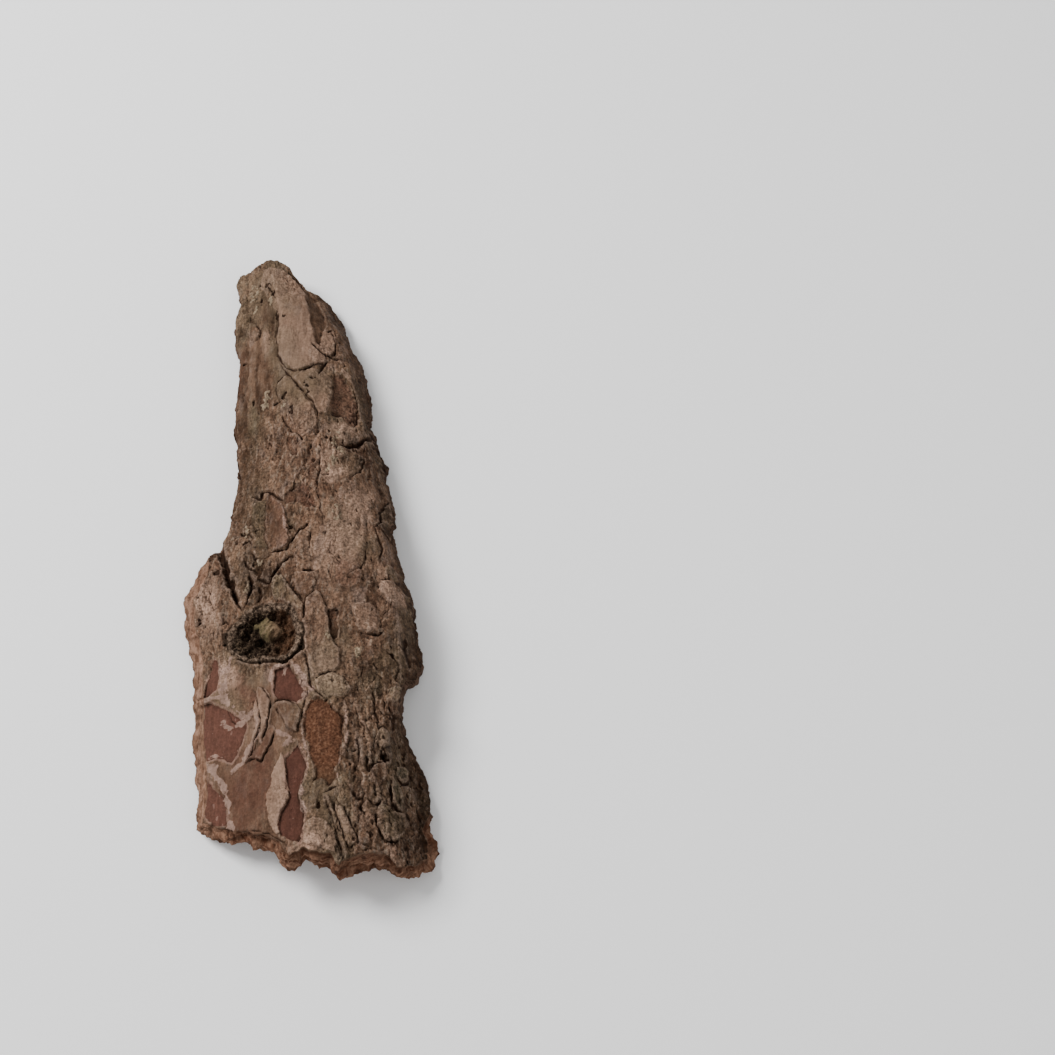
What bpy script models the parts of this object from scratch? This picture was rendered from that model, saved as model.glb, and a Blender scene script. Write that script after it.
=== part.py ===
"""Slab of pine bark, weathered side up, grown as one piece with a knot in it.

The slab lies with its hollow inner side down. +Y runs along the trunk, +X across it, +Z out of it.
Plan positions and heights are in millimetres, and the finished solid is in metres.
"""
import math

import bpy
import numpy as np

MM = 0.001
ROW_COUNT = 260
COLUMN_COUNT = 104
TRIANGLE_TARGET = 11600

# Middle of the slab's bounding box in the plan.
PLAN_MIDDLE = (0.1, -1.2)

# The broken outline seen from above, one corner to the next.
BOTTOM_SIDE = [(-39.5, -116), (-34, -118.5), (-28, -121), (-16, -124.5), (-7, -127.5), (-5, -131),
               (-1.5, -134), (4.5, -132), (13, -133), (15, -136), (18, -137.5), (24, -134.5),
               (34, -133), (38, -136), (42, -136.5), (46, -135), (49, -132), (52, -130)]
RIGHT_SIDE = [(52, -130), (53, -125.5), (51, -118), (50, -107), (49, -101), (44.5, -89.5),
              (39.5, -81), (38.5, -67.5), (40.5, -60.5), (44, -58), (46, -50), (44.5, -43),
              (42, -30), (39.5, -17.5), (35.5, -7), (32.5, 3), (31.5, 8), (33, 12), (31.5, 22.5),
              (28, 31), (29, 35.5), (28, 41), (25, 47), (22.5, 53), (20, 55.5), (21.5, 58.5),
              (21, 65.5), (18.5, 78.5), (16, 89.5), (13, 92), (9.5, 100), (7, 108), (4, 114),
              (-1.5, 119)]
TOP_SIDE = [(-39.5, 131.5), (-37, 131), (-34, 131), (-28.5, 133.5), (-26, 134.5), (-21, 134),
            (-16.5, 131), (-11.5, 124.5), (-8, 119.5), (-4.5, 120.5), (-1.5, 119)]
LEFT_SIDE = [(-39.5, -116), (-39.5, -109.5), (-41.5, -96), (-44, -82.5), (-44.5, -66),
             (-46.5, -50.5), (-49.5, -38), (-52, -25.5), (-52.5, -21), (-48, -14.5), (-47, -7),
             (-44, -1.5), (-39, 0), (-36, 5), (-34, 9.5), (-33.5, 20), (-33, 32), (-34.5, 41),
             (-33.5, 44.5), (-36, 54.5), (-36, 72), (-35, 86), (-39, 96.5), (-39.5, 108),
             (-37.5, 115.5), (-40.5, 127.5), (-39.5, 131.5)]

# Cross sections of the weathered side along the slab: place along it, then across and height for
# the left rim, the crest, the shoulder above the steep right flank, and the right rim.
SECTIONS = np.array([
    (-140, -39, 7.0, 16, 26.0, 38, 21.0, 53, 6.0),
    (-110, -40, 7.0, 17, 29.0, 38, 23.5, 51, 6.0),
    (-85, -44, 6.5, 16, 31.0, 35, 25.0, 43, 7.0),
    (-55, -46, 6.5, 14, 32.5, 38, 25.0, 45, 8.0),
    (-20, -51, 7.0, 12, 33.0, 34, 24.0, 40, 9.0),
    (10, -36, 9.0, 6, 32.0, 27, 22.0, 33, 8.0),
    (40, -34, 10.0, -1, 30.0, 22, 20.0, 28, 7.0),
    (65, -36, 10.0, -6, 27.5, 16, 18.0, 21, 6.5),
    (95, -38, 9.5, -13, 24.0, 8, 15.0, 13, 6.0),
    (120, -39, 9.0, -20, 20.0, -6, 13.0, 0, 6.0),
    (140, -39, 8.0, -24, 16.0, -10, 11.0, -6, 6.0)], float)

# Hollow inner side: height of its crest and of its rims along the slab.
INNER_PLACES = np.array([-140, -70, 0, 70, 140], float)
INNER_CREST = np.array([13.5, 13, 11, 7, 4], float)
INNER_RIM = 0.9

# Three low points it stands on: place across, place along, reach.
FEET = [(-40, -72, 8.0), (44, -108, 8.0), (-20, 121, 9.0)]
FOOT_LEVEL = -1.0
LEVEL_BAND = 0.08

# Scales and hollows of the surface: height, width of the sloping edge, outline.
PLATES = [
    # Long tongue at the top end and the flake and ridge beside it.
    (1.7, 1.2, [(-28, 135), (-12, 135), (-9, 112), (-5, 102), (-2, 92), (-1, 84), (-3, 77),
                (-8, 73), (-13, 75), (-17, 82), (-20, 90), (-20, 104), (-25, 114), (-28, 122)]),
    (0.9, 0.8, [(0, 97), (4, 98), (7, 94), (7, 87), (5, 83), (1, 84), (-1, 88), (-1, 93)]),
    (1.3, 2.0, [(-4, 118), (2, 112), (7, 104), (10, 96), (11, 86), (8, 83), (7, 92), (1, 102),
                (-4, 106)]),
    # Scales below the tongue.
    (0.9, 0.8, [(-11, 73), (-3, 75), (4, 76), (6, 70), (7, 60), (5, 49), (2, 42), (-3, 40),
                (-7, 44), (-12, 58)]),
    (0.8, 1.0, [(-31, 92), (-25, 92), (-20, 86), (-17, 77), (-16, 68), (-19, 63), (-25, 66),
                (-30, 76)]),
    (-2.4, 2.2, [(7, 75), (11, 74), (14, 67), (15, 58), (15, 49), (12, 46), (8, 51), (7, 60)]),
    (-0.7, 0.7, [(-12, 45), (-7, 43), (-4, 37), (-4, 28), (-6, 21), (-9, 21), (-11, 28)]),
    # Scales of the middle.
    (1.0, 0.9, [(-23, 14), (-17, 15), (-11, 13), (-7, 8), (-7, -5), (-10, -9), (-16, -8),
                (-22, -4), (-25, 8)]),
    (1.0, 5.0, [(12, 26), (17, 22), (21, 13), (23, 0), (23, -15), (19, -28), (14, -32), (10, -23),
                (9, -6), (9, 11)]),
    (1.1, 0.8, [(-12, -15), (-8, -14), (-6, -20), (-3, -26), (1, -31), (0, -36), (-7, -30),
                (-12, -29), (-14, -25)]),
    (1.0, 0.8, [(-5, -20), (4, -19), (6, -23), (3, -28), (-3, -27)]),
    (1.6, 1.0, [(1, -31), (5, -28), (9, -32), (11, -46), (16, -52), (18, -58), (14, -62),
                (6, -66), (3, -57), (2, -44)]),
    (2.0, 3.5, [(19, -37), (22, -32), (26, -32), (29, -38), (29, -44), (26, -47), (22, -45)]),
    (2.2, 3.0, [(29, -13), (33, -10), (36, -13), (36, -18), (33, -21), (30, -19)]),
    (2.0, 3.0, [(29, -24), (34, -21), (39, -23), (40, -28), (36, -31), (30, -29)]),
    # Scales and bare patches of the lower half.
    (0.9, 0.8, [(5, -68), (9, -64), (14, -63), (18, -64), (20, -69), (14, -71), (8, -70)]),
    (-1.9, 1.2, [(3, -72), (8, -71), (14, -72), (18, -77), (20, -84), (18, -97), (15, -104),
                 (10, -106), (5, -105), (3, -98), (2, -84)]),
    (0.9, 0.7, [(-17, -65), (-13, -68), (-11, -75), (-11, -87), (-13, -95), (-18, -95),
                (-20, -91), (-18, -86), (-16, -80), (-18, -73)]),
    (1.0, 0.7, [(-15, -68), (-12, -72), (-11, -80), (-12, -90), (-16, -94), (-15, -84),
                (-14, -76)]),
    (1.1, 0.8, [(-9, -72), (-4, -71), (0, -76), (2, -82), (1, -87), (-2, -85), (-6, -79)]),
    (0.9, 0.7, [(-7, -92), (-4, -93), (-3, -108), (-6, -118), (-5, -124), (-8, -121), (-11, -113),
                (-11, -103)]),
    (-1.2, 0.7, [(-42, -68), (-32, -68), (-27, -71), (-22, -76), (-24, -88), (-27, -92),
                 (-36, -91), (-42, -90)]),
    (-1.1, 0.7, [(-12, -58), (-8, -59), (-4, -58), (0, -64), (2, -72), (-4, -71), (-9, -70),
                 (-12, -65)]),
    (-1.0, 0.7, [(-40, -62), (-39, -53), (-37, -49), (-34, -50), (-34, -61), (-37, -64)]),
    (-1.1, 0.7, [(-3, -94), (1, -89), (3, -99), (3, -118), (3, -134), (-6, -134), (-5, -119),
                 (-2, -110)]),
    (-0.9, 0.7, [(-41, -101), (-33, -99), (-29, -105), (-27, -112), (-27, -124), (-41, -120)]),
    (0.8, 0.8, [(4, -116), (9, -113), (14, -116), (17, -122), (20, -134), (5, -134)]),
    (0.8, 0.8, [(16, -107), (20, -110), (23, -118), (26, -134), (21, -134), (19, -120)])]

# Cracks and furrows: depth, half width, path.
CRACKS = [
    (1.3, 1.5, [(-20, 105), (-20, 88), (-16, 79), (-12, 74), (-7, 73), (-3, 76)]),
    (1.2, 1.4, [(-9, 117), (-6, 105), (-3, 92), (-1, 86)]),
    (1.8, 1.5, [(-3, 88), (1, 84), (5, 82), (9, 82)]),
    (1.5, 1.3, [(5, 82), (1, 74)]),
    (1.6, 1.7, [(-15, 77), (-7, 66), (-1, 57)]),
    (1.3, 1.5, [(-15, 58), (-10, 48), (-5, 41)]),
    (4.5, 2.6, [(29, 51), (23, 49), (18, 43), (13, 38), (9, 35)]),
    (1.8, 1.6, [(20, 35), (20, 28), (16, 22)]),
    (2.2, 1.4, [(-4, -12), (-9, -13), (-12, -15), (-14, -21), (-18, -21), (-21, -17)]),
    (1.6, 1.2, [(-2, -19), (4, -18)]),
    (2.4, 2.0, [(-24, -12), (-25, -21), (-23, -27), (-23, -34)]),
    (4.5, 2.6, [(-38, 0), (-35, -7), (-32, -15), (-29, -24), (-25, -33)]),
    (1.2, 1.3, [(-3, 0), (-6, -5), (-7, -9)]),
    (1.8, 1.4, [(0, -31), (1, -36), (0, -47), (2, -56), (5, -66), (9, -71)]),
    (1.2, 1.2, [(5, -66), (3, -73)]),
    (1.7, 1.3, [(-16, -65), (-12, -69), (-11, -75), (-11, -86), (-14, -95), (-19, -95)]),
    (1.1, 1.2, [(11, -108), (15, -116), (20, -130)]),
    (1.1, 1.2, [(16, -107), (19, -115), (22, -126)]),
    (2.6, 2.4, [(36, -8), (30, -22), (31, -34), (34, -52)]),
    (2.8, 2.2, [(40, -62), (34, -70), (33, -82), (38, -93)]),
    (2.4, 2.0, [(-33, 84), (-34, 70), (-31, 56), (-32, 40), (-29, 26), (-30, 12)]),
    (1.6, 1.8, [(-27, 60), (-23, 46), (-24, 34), (-21, 22)]),
    (2.0, 1.8, [(27, -70), (25, -84), (28, -98), (26, -112)]),
    (1.8, 1.6, [(33, -96), (31, -108), (34, -121)])]

# Knot: middle, half width across and along, and the stump left inside its pit.
KNOT = (-15.0, -42.0)
KNOT_REACH = (15.5, 12.8)
KNOT_PIT = 8.0
KNOT_COLLAR = 2.0
STUMP = (-11.5, -39.5)
STUMP_REACH = (8.5, 6.0)
STUMP_RISE = 5.2

# Thinnest the slab gets between its two sides, and the layers its broken rim shows.
THINNEST = 3.4
RIM_LAYERS = 5
RIM_ROWS = 9


def lattice_value(column, row, seed):
    """Repeatable value from 0 to 1 for each whole-number point."""
    number = (column * 374761393 + row * 668265263 + seed * 974634777) & 0xFFFFFFFF
    number = ((number ^ (number >> 13)) * 1274126177) & 0xFFFFFFFF
    return ((number ^ (number >> 16)) & 0xFFFF) / 65535.0


def smooth_noise(x, y, seed):
    """Soft random heights from -1 to 1 that change over one unit of x and y."""
    column = np.floor(x).astype(np.int64)
    row = np.floor(y).astype(np.int64)
    across = x - column
    along = y - row
    across = across ** 3 * (across * (across * 6 - 15) + 10)
    along = along ** 3 * (along * (along * 6 - 15) + 10)
    near = lattice_value(column, row, seed) * (1 - across)
    near = near + lattice_value(column + 1, row, seed) * across
    far = lattice_value(column, row + 1, seed) * (1 - across)
    far = far + lattice_value(column + 1, row + 1, seed) * across
    return 2 * (near * (1 - along) + far * along) - 1


def rough_noise(x, y, size, seed, octaves):
    """Sum of soft noises, each half the size and a little over half the height of the last."""
    total = np.zeros(np.shape(x))
    height = 1.0
    whole = 0.0
    for octave in range(octaves):
        turn = 0.5 + 1.1 * octave
        turned_x = (x * math.cos(turn) - y * math.sin(turn)) / size + 17.3 * octave
        turned_y = (x * math.sin(turn) + y * math.cos(turn)) / size
        total = total + height * smooth_noise(turned_x, turned_y, seed + octave)
        whole = whole + height
        height = height * 0.55
        size = size * 0.5
    return total / whole


def ease(value):
    """Soft step from 0 to 1."""
    value = np.clip(value, 0, 1)
    return value * value * (3 - 2 * value)


def terraces(height, step, riser):
    """Smooth heights rounded into flat steps; riser is the sloping share of a step."""
    level = np.floor(height / step)
    part = height / step - level
    return step * (level + ease((part - 1 + riser) / riser))


def flowing(place, places, values):
    """Curve through the values with no kink at any place."""
    slopes = np.gradient(values, places)
    index = np.clip(np.searchsorted(places, place) - 1, 0, len(places) - 2)
    span = places[index + 1] - places[index]
    part = np.clip((place - places[index]) / span, 0, 1)
    start = (1 + 2 * part) * (1 - part) ** 2 * values[index]
    start = start + part * (1 - part) ** 2 * span * slopes[index]
    end = part ** 2 * (3 - 2 * part) * values[index + 1]
    end = end + part ** 2 * (part - 1) * span * slopes[index + 1]
    return start + end


def inside_distance(points, x, y):
    """Distance to a closed outline, positive inside it."""
    inside = np.zeros(np.shape(x), bool)
    nearest = np.full(np.shape(x), 1000.0)
    for (ax, ay), (bx, by) in zip(points, points[1:] + points[:1]):
        run_x = bx - ax
        run_y = by - ay
        part = np.clip(((x - ax) * run_x + (y - ay) * run_y) / (run_x ** 2 + run_y ** 2), 0, 1)
        nearest = np.minimum(nearest, np.hypot(x - ax - part * run_x, y - ay - part * run_y))
        if run_y:
            crossed = (ay > y) != (by > y)
            inside = inside ^ (crossed & (x < ax + (y - ay) * run_x / run_y))
    return np.where(inside, nearest, -nearest)


def path_distance(points, x, y):
    """Distance to an open path."""
    nearest = np.full(np.shape(x), 1000.0)
    for (ax, ay), (bx, by) in zip(points, points[1:]):
        run_x = bx - ax
        run_y = by - ay
        part = np.clip(((x - ax) * run_x + (y - ay) * run_y) / (run_x ** 2 + run_y ** 2), 0, 1)
        nearest = np.minimum(nearest, np.hypot(x - ax - part * run_x, y - ay - part * run_y))
    return nearest


def plate_relief(x, y):
    """Raised scales and bare hollows, with frayed outlines."""
    frayed_x = x + 1.3 * rough_noise(x, y, 7.0, 11, 2)
    frayed_y = y + 1.3 * rough_noise(x, y, 7.0, 21, 2)
    relief = np.zeros(np.shape(x))
    for height, edge, outline in PLATES:
        relief = relief + height * ease(inside_distance(outline, frayed_x, frayed_y) / edge + 0.5)
    return relief


def crack_relief(x, y):
    """Cracks and furrows cut into the surface."""
    bent_x = x + 1.4 * rough_noise(x, y, 8.0, 31, 2)
    bent_y = y + 1.4 * rough_noise(x, y, 8.0, 41, 2)
    relief = np.zeros(np.shape(x))
    for depth, reach, path in CRACKS:
        groove = np.clip(1 - path_distance(path, bent_x, bent_y) / reach, 0, 1)
        relief = np.minimum(relief, -depth * groove ** 0.8)
    return relief


def knot_relief(x, y):
    """Collar, pit and stump of the knot."""
    across = (x - KNOT[0]) / KNOT_REACH[0]
    along = (y - KNOT[1]) / KNOT_REACH[1]
    radius = np.hypot(across, along) + 0.16 * rough_noise(x, y, 9.0, 51, 3)
    toward_right = (across - along) / (np.hypot(across, along) + 0.3)
    collar = KNOT_COLLAR * (0.75 + 0.4 * toward_right) * np.exp(-((radius - 1.04) / 0.16) ** 2)
    rings = 0.55 * np.sin(radius * 26) * np.exp(-((radius - 1.0) / 0.28) ** 2)
    pit = -KNOT_PIT * (0.9 - 0.25 * toward_right) * ease((0.94 - radius) / 0.5)
    stump = np.hypot((x - STUMP[0]) / STUMP_REACH[0], (y - STUMP[1]) / STUMP_REACH[1])
    stump = stump + 0.25 * rough_noise(x, y, 5.0, 56, 2)
    stump = (STUMP_RISE + 0.12 * (x - STUMP[0]) + 0.1 * (y - STUMP[1])) * ease((1.1 - stump) / 0.5)
    return collar + rings + pit + stump


def roughness_share(x, y):
    """Coarse scaly areas near 1, smooth plates near 0."""
    right = ease((x - 14) / 14) * ease((-52 - y) / 20)
    above_knot = np.exp(-(((x + 25) / 8) ** 2 + ((y + 16) / 16) ** 2))
    left_column = ease((-24 - x) / 6) * ease((y - 4) / 15)
    middle = np.exp(-(((x - 8) / 14) ** 2 + ((y - 30) / 22) ** 2))
    return np.clip(0.22 + 0.9 * right + 0.8 * above_knot + 0.5 * left_column + 0.5 * middle, 0, 1)


def scaly_relief(x, y):
    """Thin layers flaked off in steps, longer along the trunk than across it."""
    share = roughness_share(x, y)
    coarse = 3.4 * rough_noise(x, y * 0.62, 15.0, 61, 3)
    fine = 1.8 * rough_noise(x, y * 0.7, 6.5, 71, 3)
    coarse = terraces(coarse, 0.9, 0.3)
    fine = terraces(fine, 0.6, 0.4)
    return share * (coarse + fine) + (1 - share) * (0.25 * coarse + 0.08 * fine)


def section_limits(y):
    """Cross-section values at each place along the slab."""
    return [flowing(y, SECTIONS[:, 0], SECTIONS[:, value]) for value in range(1, 9)]


def weathered_curve(x, y):
    """Smooth outer form: long slope to the left rim, rounded crest, steep right flank."""
    left_x, left_z, crest_x, crest_z, shoulder_x, shoulder_z, right_x, right_z = section_limits(y)
    left = np.clip((crest_x - x) / (crest_x - left_x), 0, 1.2)
    left_height = crest_z - (crest_z - left_z) * left ** 1.55
    over = np.clip((x - crest_x) / (shoulder_x - crest_x), 0, 1)
    top_height = crest_z - (crest_z - shoulder_z) * over ** 2
    down = np.clip((x - shoulder_x) / (right_x - shoulder_x), 0, 1.1)
    flank_height = shoulder_z - (shoulder_z - right_z) * down ** 0.9
    height = np.where(x < crest_x, left_height, np.where(x < shoulder_x, top_height, flank_height))
    return height + 1.3 * rough_noise(x, y * 0.6, 34.0, 81, 2)


def inner_height(x, y):
    """Hollow inner side, level with the ground at the three feet."""
    limits = section_limits(y)
    middle = 0.5 * (limits[0] + limits[6])
    half = 0.5 * (limits[6] - limits[0]) + 1.0
    crest = flowing(y, INNER_PLACES, INNER_CREST)
    share = np.clip(np.abs(x - middle) / half, 0, 1)
    height = INNER_RIM + (crest - INNER_RIM) * (1 - share ** 2.2)
    height = height + 0.5 * rough_noise(x, y * 0.25, 9.0, 91, 3)
    for foot_x, foot_y, reach in FEET:
        away = ((x - foot_x) / reach) ** 2 + ((y - foot_y) / (1.4 * reach)) ** 2
        near = np.exp(-away ** 2)
        height = height * (1 - near) + FOOT_LEVEL * near
    return np.maximum(height, 0)


def outer_height(x, y):
    """Weathered side with its scales, cracks and knot."""
    knot_distance = np.hypot((x - KNOT[0]) / KNOT_REACH[0], (y - KNOT[1]) / KNOT_REACH[1])
    away = ease((knot_distance - 0.9) / 0.4)
    relief = away * (plate_relief(x, y) + scaly_relief(x, y)) + crack_relief(x, y) * away
    height = weathered_curve(x, y) + relief + knot_relief(x, y)
    return np.maximum(height, inner_height(x, y) + THINNEST)


def even_points(points, count):
    """Evenly spaced points along a broken line."""
    points = np.array(points, float)
    travelled = np.concatenate([[0], np.cumsum(np.hypot(*np.diff(points, axis=0).T))])
    wanted = np.linspace(0, travelled[-1], count)
    return np.stack([np.interp(wanted, travelled, points[:, axis]) for axis in (0, 1)], axis=1)


def rim_ring():
    """Closed outline, anticlockwise from the bottom left corner."""
    bottom = even_points(BOTTOM_SIDE, COLUMN_COUNT + 1)
    right = even_points(RIGHT_SIDE, ROW_COUNT + 1)
    top = even_points(TOP_SIDE, COLUMN_COUNT + 1)
    left = even_points(LEFT_SIDE, ROW_COUNT + 1)
    return np.concatenate([bottom[:-1], right[:-1], top[::-1][:-1], left[::-1][:-1]])


def ring_normals(ring, reach):
    """Directions away from the slab, evened out over a number of neighbours."""
    evened = np.zeros(ring.shape)
    for shift in range(-reach, reach + 1):
        evened = evened + np.roll(ring, shift, axis=0)
    run = np.roll(evened, -1, axis=0) - np.roll(evened, 1, axis=0)
    length = np.hypot(run[:, 0], run[:, 1])
    return np.stack([run[:, 1] / length, -run[:, 0] / length], axis=1)


def rim_offset(x, y, depth):
    """How far the rim stands out at a share of its depth; inner layers reach furthest."""
    wing = ease((-30 - x) / 8) * ease((y + 122) / 20) * ease((4 - y) / 14)
    end = ease((-112 - y) / 10) * ease((x + 20) / 20)
    recess = 1.6 + 3.6 * wing + 3.4 * end
    slope = -recess * (1 - ease(depth / 0.75)) - 1.2 * ease((depth - 0.8) / 0.2)
    layer = np.floor(RIM_LAYERS * depth + 0.5 * smooth_noise(x / 25, y / 25, 105))
    ledge = rough_noise(x + 31 * layer, y - 17 * layer, 9.0, 101, 2)
    ragged = rough_noise(x, y, 5.0, 111, 3)
    return slope + (0.5 + 1.2 * ease(depth * 3)) * ledge + 0.9 * ragged


def patch_between(ring):
    """Plan grid filled in between the four sides of a ring."""
    bottom = ring[:COLUMN_COUNT + 1]
    right = ring[COLUMN_COUNT:COLUMN_COUNT + ROW_COUNT + 1]
    top = ring[COLUMN_COUNT + ROW_COUNT:2 * COLUMN_COUNT + ROW_COUNT + 1][::-1]
    left = np.concatenate([ring[2 * COLUMN_COUNT + ROW_COUNT:], ring[:1]])[::-1]
    u = np.linspace(0, 1, COLUMN_COUNT + 1)[None, :, None]
    v = np.linspace(0, 1, ROW_COUNT + 1)[:, None, None]
    lengthwise = (1 - v) * bottom[None] + v * top[None]
    crosswise = (1 - u) * left[:, None] + u * right[:, None]
    corners = (1 - u) * ((1 - v) * bottom[0] + v * top[0])
    corners = corners + u * ((1 - v) * bottom[-1] + v * top[-1])
    return lengthwise + crosswise - corners


def grid_faces(start, flipped):
    """Quads of a plan grid whose vertices begin at a number."""
    row, column = np.meshgrid(np.arange(ROW_COUNT), np.arange(COLUMN_COUNT), indexing="ij")
    first = start + row * (COLUMN_COUNT + 1) + column
    quads = np.stack([first, first + 1, first + COLUMN_COUNT + 2, first + COLUMN_COUNT + 1], -1)
    quads = quads.reshape(-1, 4)
    return quads[:, ::-1] if flipped else quads


def grid_border(start):
    """Vertex numbers round a plan grid, anticlockwise from the bottom left corner."""
    index = start + np.arange((ROW_COUNT + 1) * (COLUMN_COUNT + 1))
    index = index.reshape(ROW_COUNT + 1, COLUMN_COUNT + 1)
    return np.concatenate([index[0, :-1], index[:-1, -1], index[-1, :0:-1], index[:0:-1, 0]])


def slab_geometry():
    """Vertices and quads of the whole slab: weathered side, rim rows and inner side."""
    ring = rim_ring()
    normals = ring_normals(ring, 4)
    depths = list(np.linspace(0, 1, RIM_ROWS + 2)[1:-1])
    reaches = [rim_offset(ring[:, 0], ring[:, 1], depth) for depth in [0.0] + depths + [1.0]]
    plans = [ring + normals * reach[:, None] for reach in reaches]
    outer_plan = patch_between(plans[0])
    inner_plan = patch_between(plans[-1])
    outer = outer_height(outer_plan[..., 0], outer_plan[..., 1])
    inner = inner_height(inner_plan[..., 0], inner_plan[..., 1])
    outer_points = np.concatenate([outer_plan, outer[..., None]], -1).reshape(-1, 3)
    inner_points = np.concatenate([inner_plan, inner[..., None]], -1).reshape(-1, 3)
    outer_border = grid_border(0)
    inner_border = grid_border(len(outer_points))
    high = outer_points[outer_border, 2]
    low = inner_points[inner_border - len(outer_points), 2]
    points = [outer_points, inner_points]
    faces = [grid_faces(0, False), grid_faces(len(outer_points), True)]
    start = len(outer_points) + len(inner_points)
    above = outer_border
    for depth, plan in zip(depths, plans[1:-1]):
        height = high * (1 - depth) + low * depth
        points.append(np.concatenate([plan, height[:, None]], 1))
        below = start + np.arange(len(ring))
        faces.append(np.stack([above, below, np.roll(below, -1), np.roll(above, -1)], 1))
        start = start + len(ring)
        above = below
    faces.append(np.stack([above, inner_border, np.roll(inner_border, -1), np.roll(above, -1)], 1))
    return np.concatenate(points), np.concatenate(faces)


def bark_material():
    """Dry weathered bark, mid brown and dull."""
    material = bpy.data.materials.new("weathered_bark")
    material.use_nodes = True
    shader = material.node_tree.nodes["Principled BSDF"]
    shader.inputs["Base Color"].default_value = (0.16, 0.10, 0.075, 1)
    shader.inputs["Roughness"].default_value = 0.85
    shader.inputs["Metallic"].default_value = 0.0
    return material


def level_feet(slab):
    """Keep the faceted surface and bring its lowest corners exactly to the ground."""
    faceted = slab.evaluated_get(bpy.context.evaluated_depsgraph_get())
    slab.data = bpy.data.meshes.new_from_object(faceted)
    slab.modifiers.clear()
    for corner in slab.data.vertices:
        if corner.co.z < LEVEL_BAND * MM:
            corner.co.z = 0


def bark_slab():
    """The slab as one closed solid, its surface thinned to the flat facets that carry its form."""
    points, faces = slab_geometry()
    points[:, 0] = points[:, 0] - PLAN_MIDDLE[0]
    points[:, 1] = points[:, 1] - PLAN_MIDDLE[1]
    mesh = bpy.data.meshes.new("bark_slab")
    mesh.from_pydata((points * MM).tolist(), [], faces.tolist())
    mesh.update()
    slab = bpy.data.objects.new("bark_slab", mesh)
    bpy.context.scene.collection.objects.link(slab)
    slab.data.materials.append(bark_material())
    facets = slab.modifiers.new("facets", "DECIMATE")
    facets.decimate_type = "COLLAPSE"
    facets.ratio = TRIANGLE_TARGET / (2 * len(faces))
    level_feet(slab)


for old in list(bpy.data.objects):
    bpy.data.objects.remove(old, do_unlink=True)
bark_slab()
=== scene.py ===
"""One weathered slab of pine bark with a knot, lying on its hollow inner side."""
import math

import bpy
import numpy as np
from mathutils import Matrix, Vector


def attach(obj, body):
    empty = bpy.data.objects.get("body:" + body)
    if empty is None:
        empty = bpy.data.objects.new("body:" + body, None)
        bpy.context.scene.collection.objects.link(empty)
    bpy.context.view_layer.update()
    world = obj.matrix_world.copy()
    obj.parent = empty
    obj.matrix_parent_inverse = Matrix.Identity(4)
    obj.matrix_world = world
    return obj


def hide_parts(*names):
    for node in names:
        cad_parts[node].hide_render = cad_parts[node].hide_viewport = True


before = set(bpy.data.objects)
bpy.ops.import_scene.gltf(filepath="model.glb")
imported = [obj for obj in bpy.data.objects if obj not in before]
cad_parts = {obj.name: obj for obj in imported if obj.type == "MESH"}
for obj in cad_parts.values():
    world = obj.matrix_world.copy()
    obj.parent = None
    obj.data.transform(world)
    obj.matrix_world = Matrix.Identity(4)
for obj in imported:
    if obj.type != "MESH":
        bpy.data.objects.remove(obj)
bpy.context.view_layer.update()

# The slab's broken outline: pine bark breaks off the trunk in one curved slab, ragged along every
# side. Places are millimetres in the plan, +Y along the trunk and +X across it.
MM = 0.001
PLAN_MIDDLE = (0.1, -1.2)
ROW_COUNT = 860
COLUMN_COUNT = 350
BOTTOM_SIDE = [(-39.5, -116), (-34, -118.5), (-28, -121), (-16, -124.5), (-7, -127.5), (-5, -131),
               (-1.5, -134), (4.5, -132), (13, -133), (15, -136), (18, -137.5), (24, -134.5),
               (34, -133), (38, -136), (42, -136.5), (46, -135), (49, -132), (52, -130)]
RIGHT_SIDE = [(52, -130), (53, -125.5), (51, -118), (50, -107), (49, -101), (44.5, -89.5),
              (39.5, -81), (38.5, -67.5), (40.5, -60.5), (44, -58), (46, -50), (44.5, -43),
              (42, -30), (39.5, -17.5), (35.5, -7), (32.5, 3), (31.5, 8), (33, 12), (31.5, 22.5),
              (28, 31), (29, 35.5), (28, 41), (25, 47), (22.5, 53), (20, 55.5), (21.5, 58.5),
              (21, 65.5), (18.5, 78.5), (16, 89.5), (13, 92), (9.5, 100), (7, 108), (4, 114),
              (-1.5, 119)]
TOP_SIDE = [(-39.5, 131.5), (-37, 131), (-34, 131), (-28.5, 133.5), (-26, 134.5), (-21, 134),
            (-16.5, 131), (-11.5, 124.5), (-8, 119.5), (-4.5, 120.5), (-1.5, 119)]
LEFT_SIDE = [(-39.5, -116), (-39.5, -109.5), (-41.5, -96), (-44, -82.5), (-44.5, -66),
             (-46.5, -50.5), (-49.5, -38), (-52, -25.5), (-52.5, -21), (-48, -14.5), (-47, -7),
             (-44, -1.5), (-39, 0), (-36, 5), (-34, 9.5), (-33.5, 20), (-33, 32), (-34.5, 41),
             (-33.5, 44.5), (-36, 54.5), (-36, 72), (-35, 86), (-39, 96.5), (-39.5, 108),
             (-37.5, 115.5), (-40.5, 127.5), (-39.5, 131.5)]


def lattice_value(column, row, seed):
    """Repeatable value from 0 to 1 for each whole-number point, by mixing its digits."""
    number = (column * 374761393 + row * 668265263 + seed * 974634777) & 0xFFFFFFFF
    number = ((number ^ (number >> 13)) * 1274126177) & 0xFFFFFFFF
    return ((number ^ (number >> 16)) & 0xFFFF) / 65535.0


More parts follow.
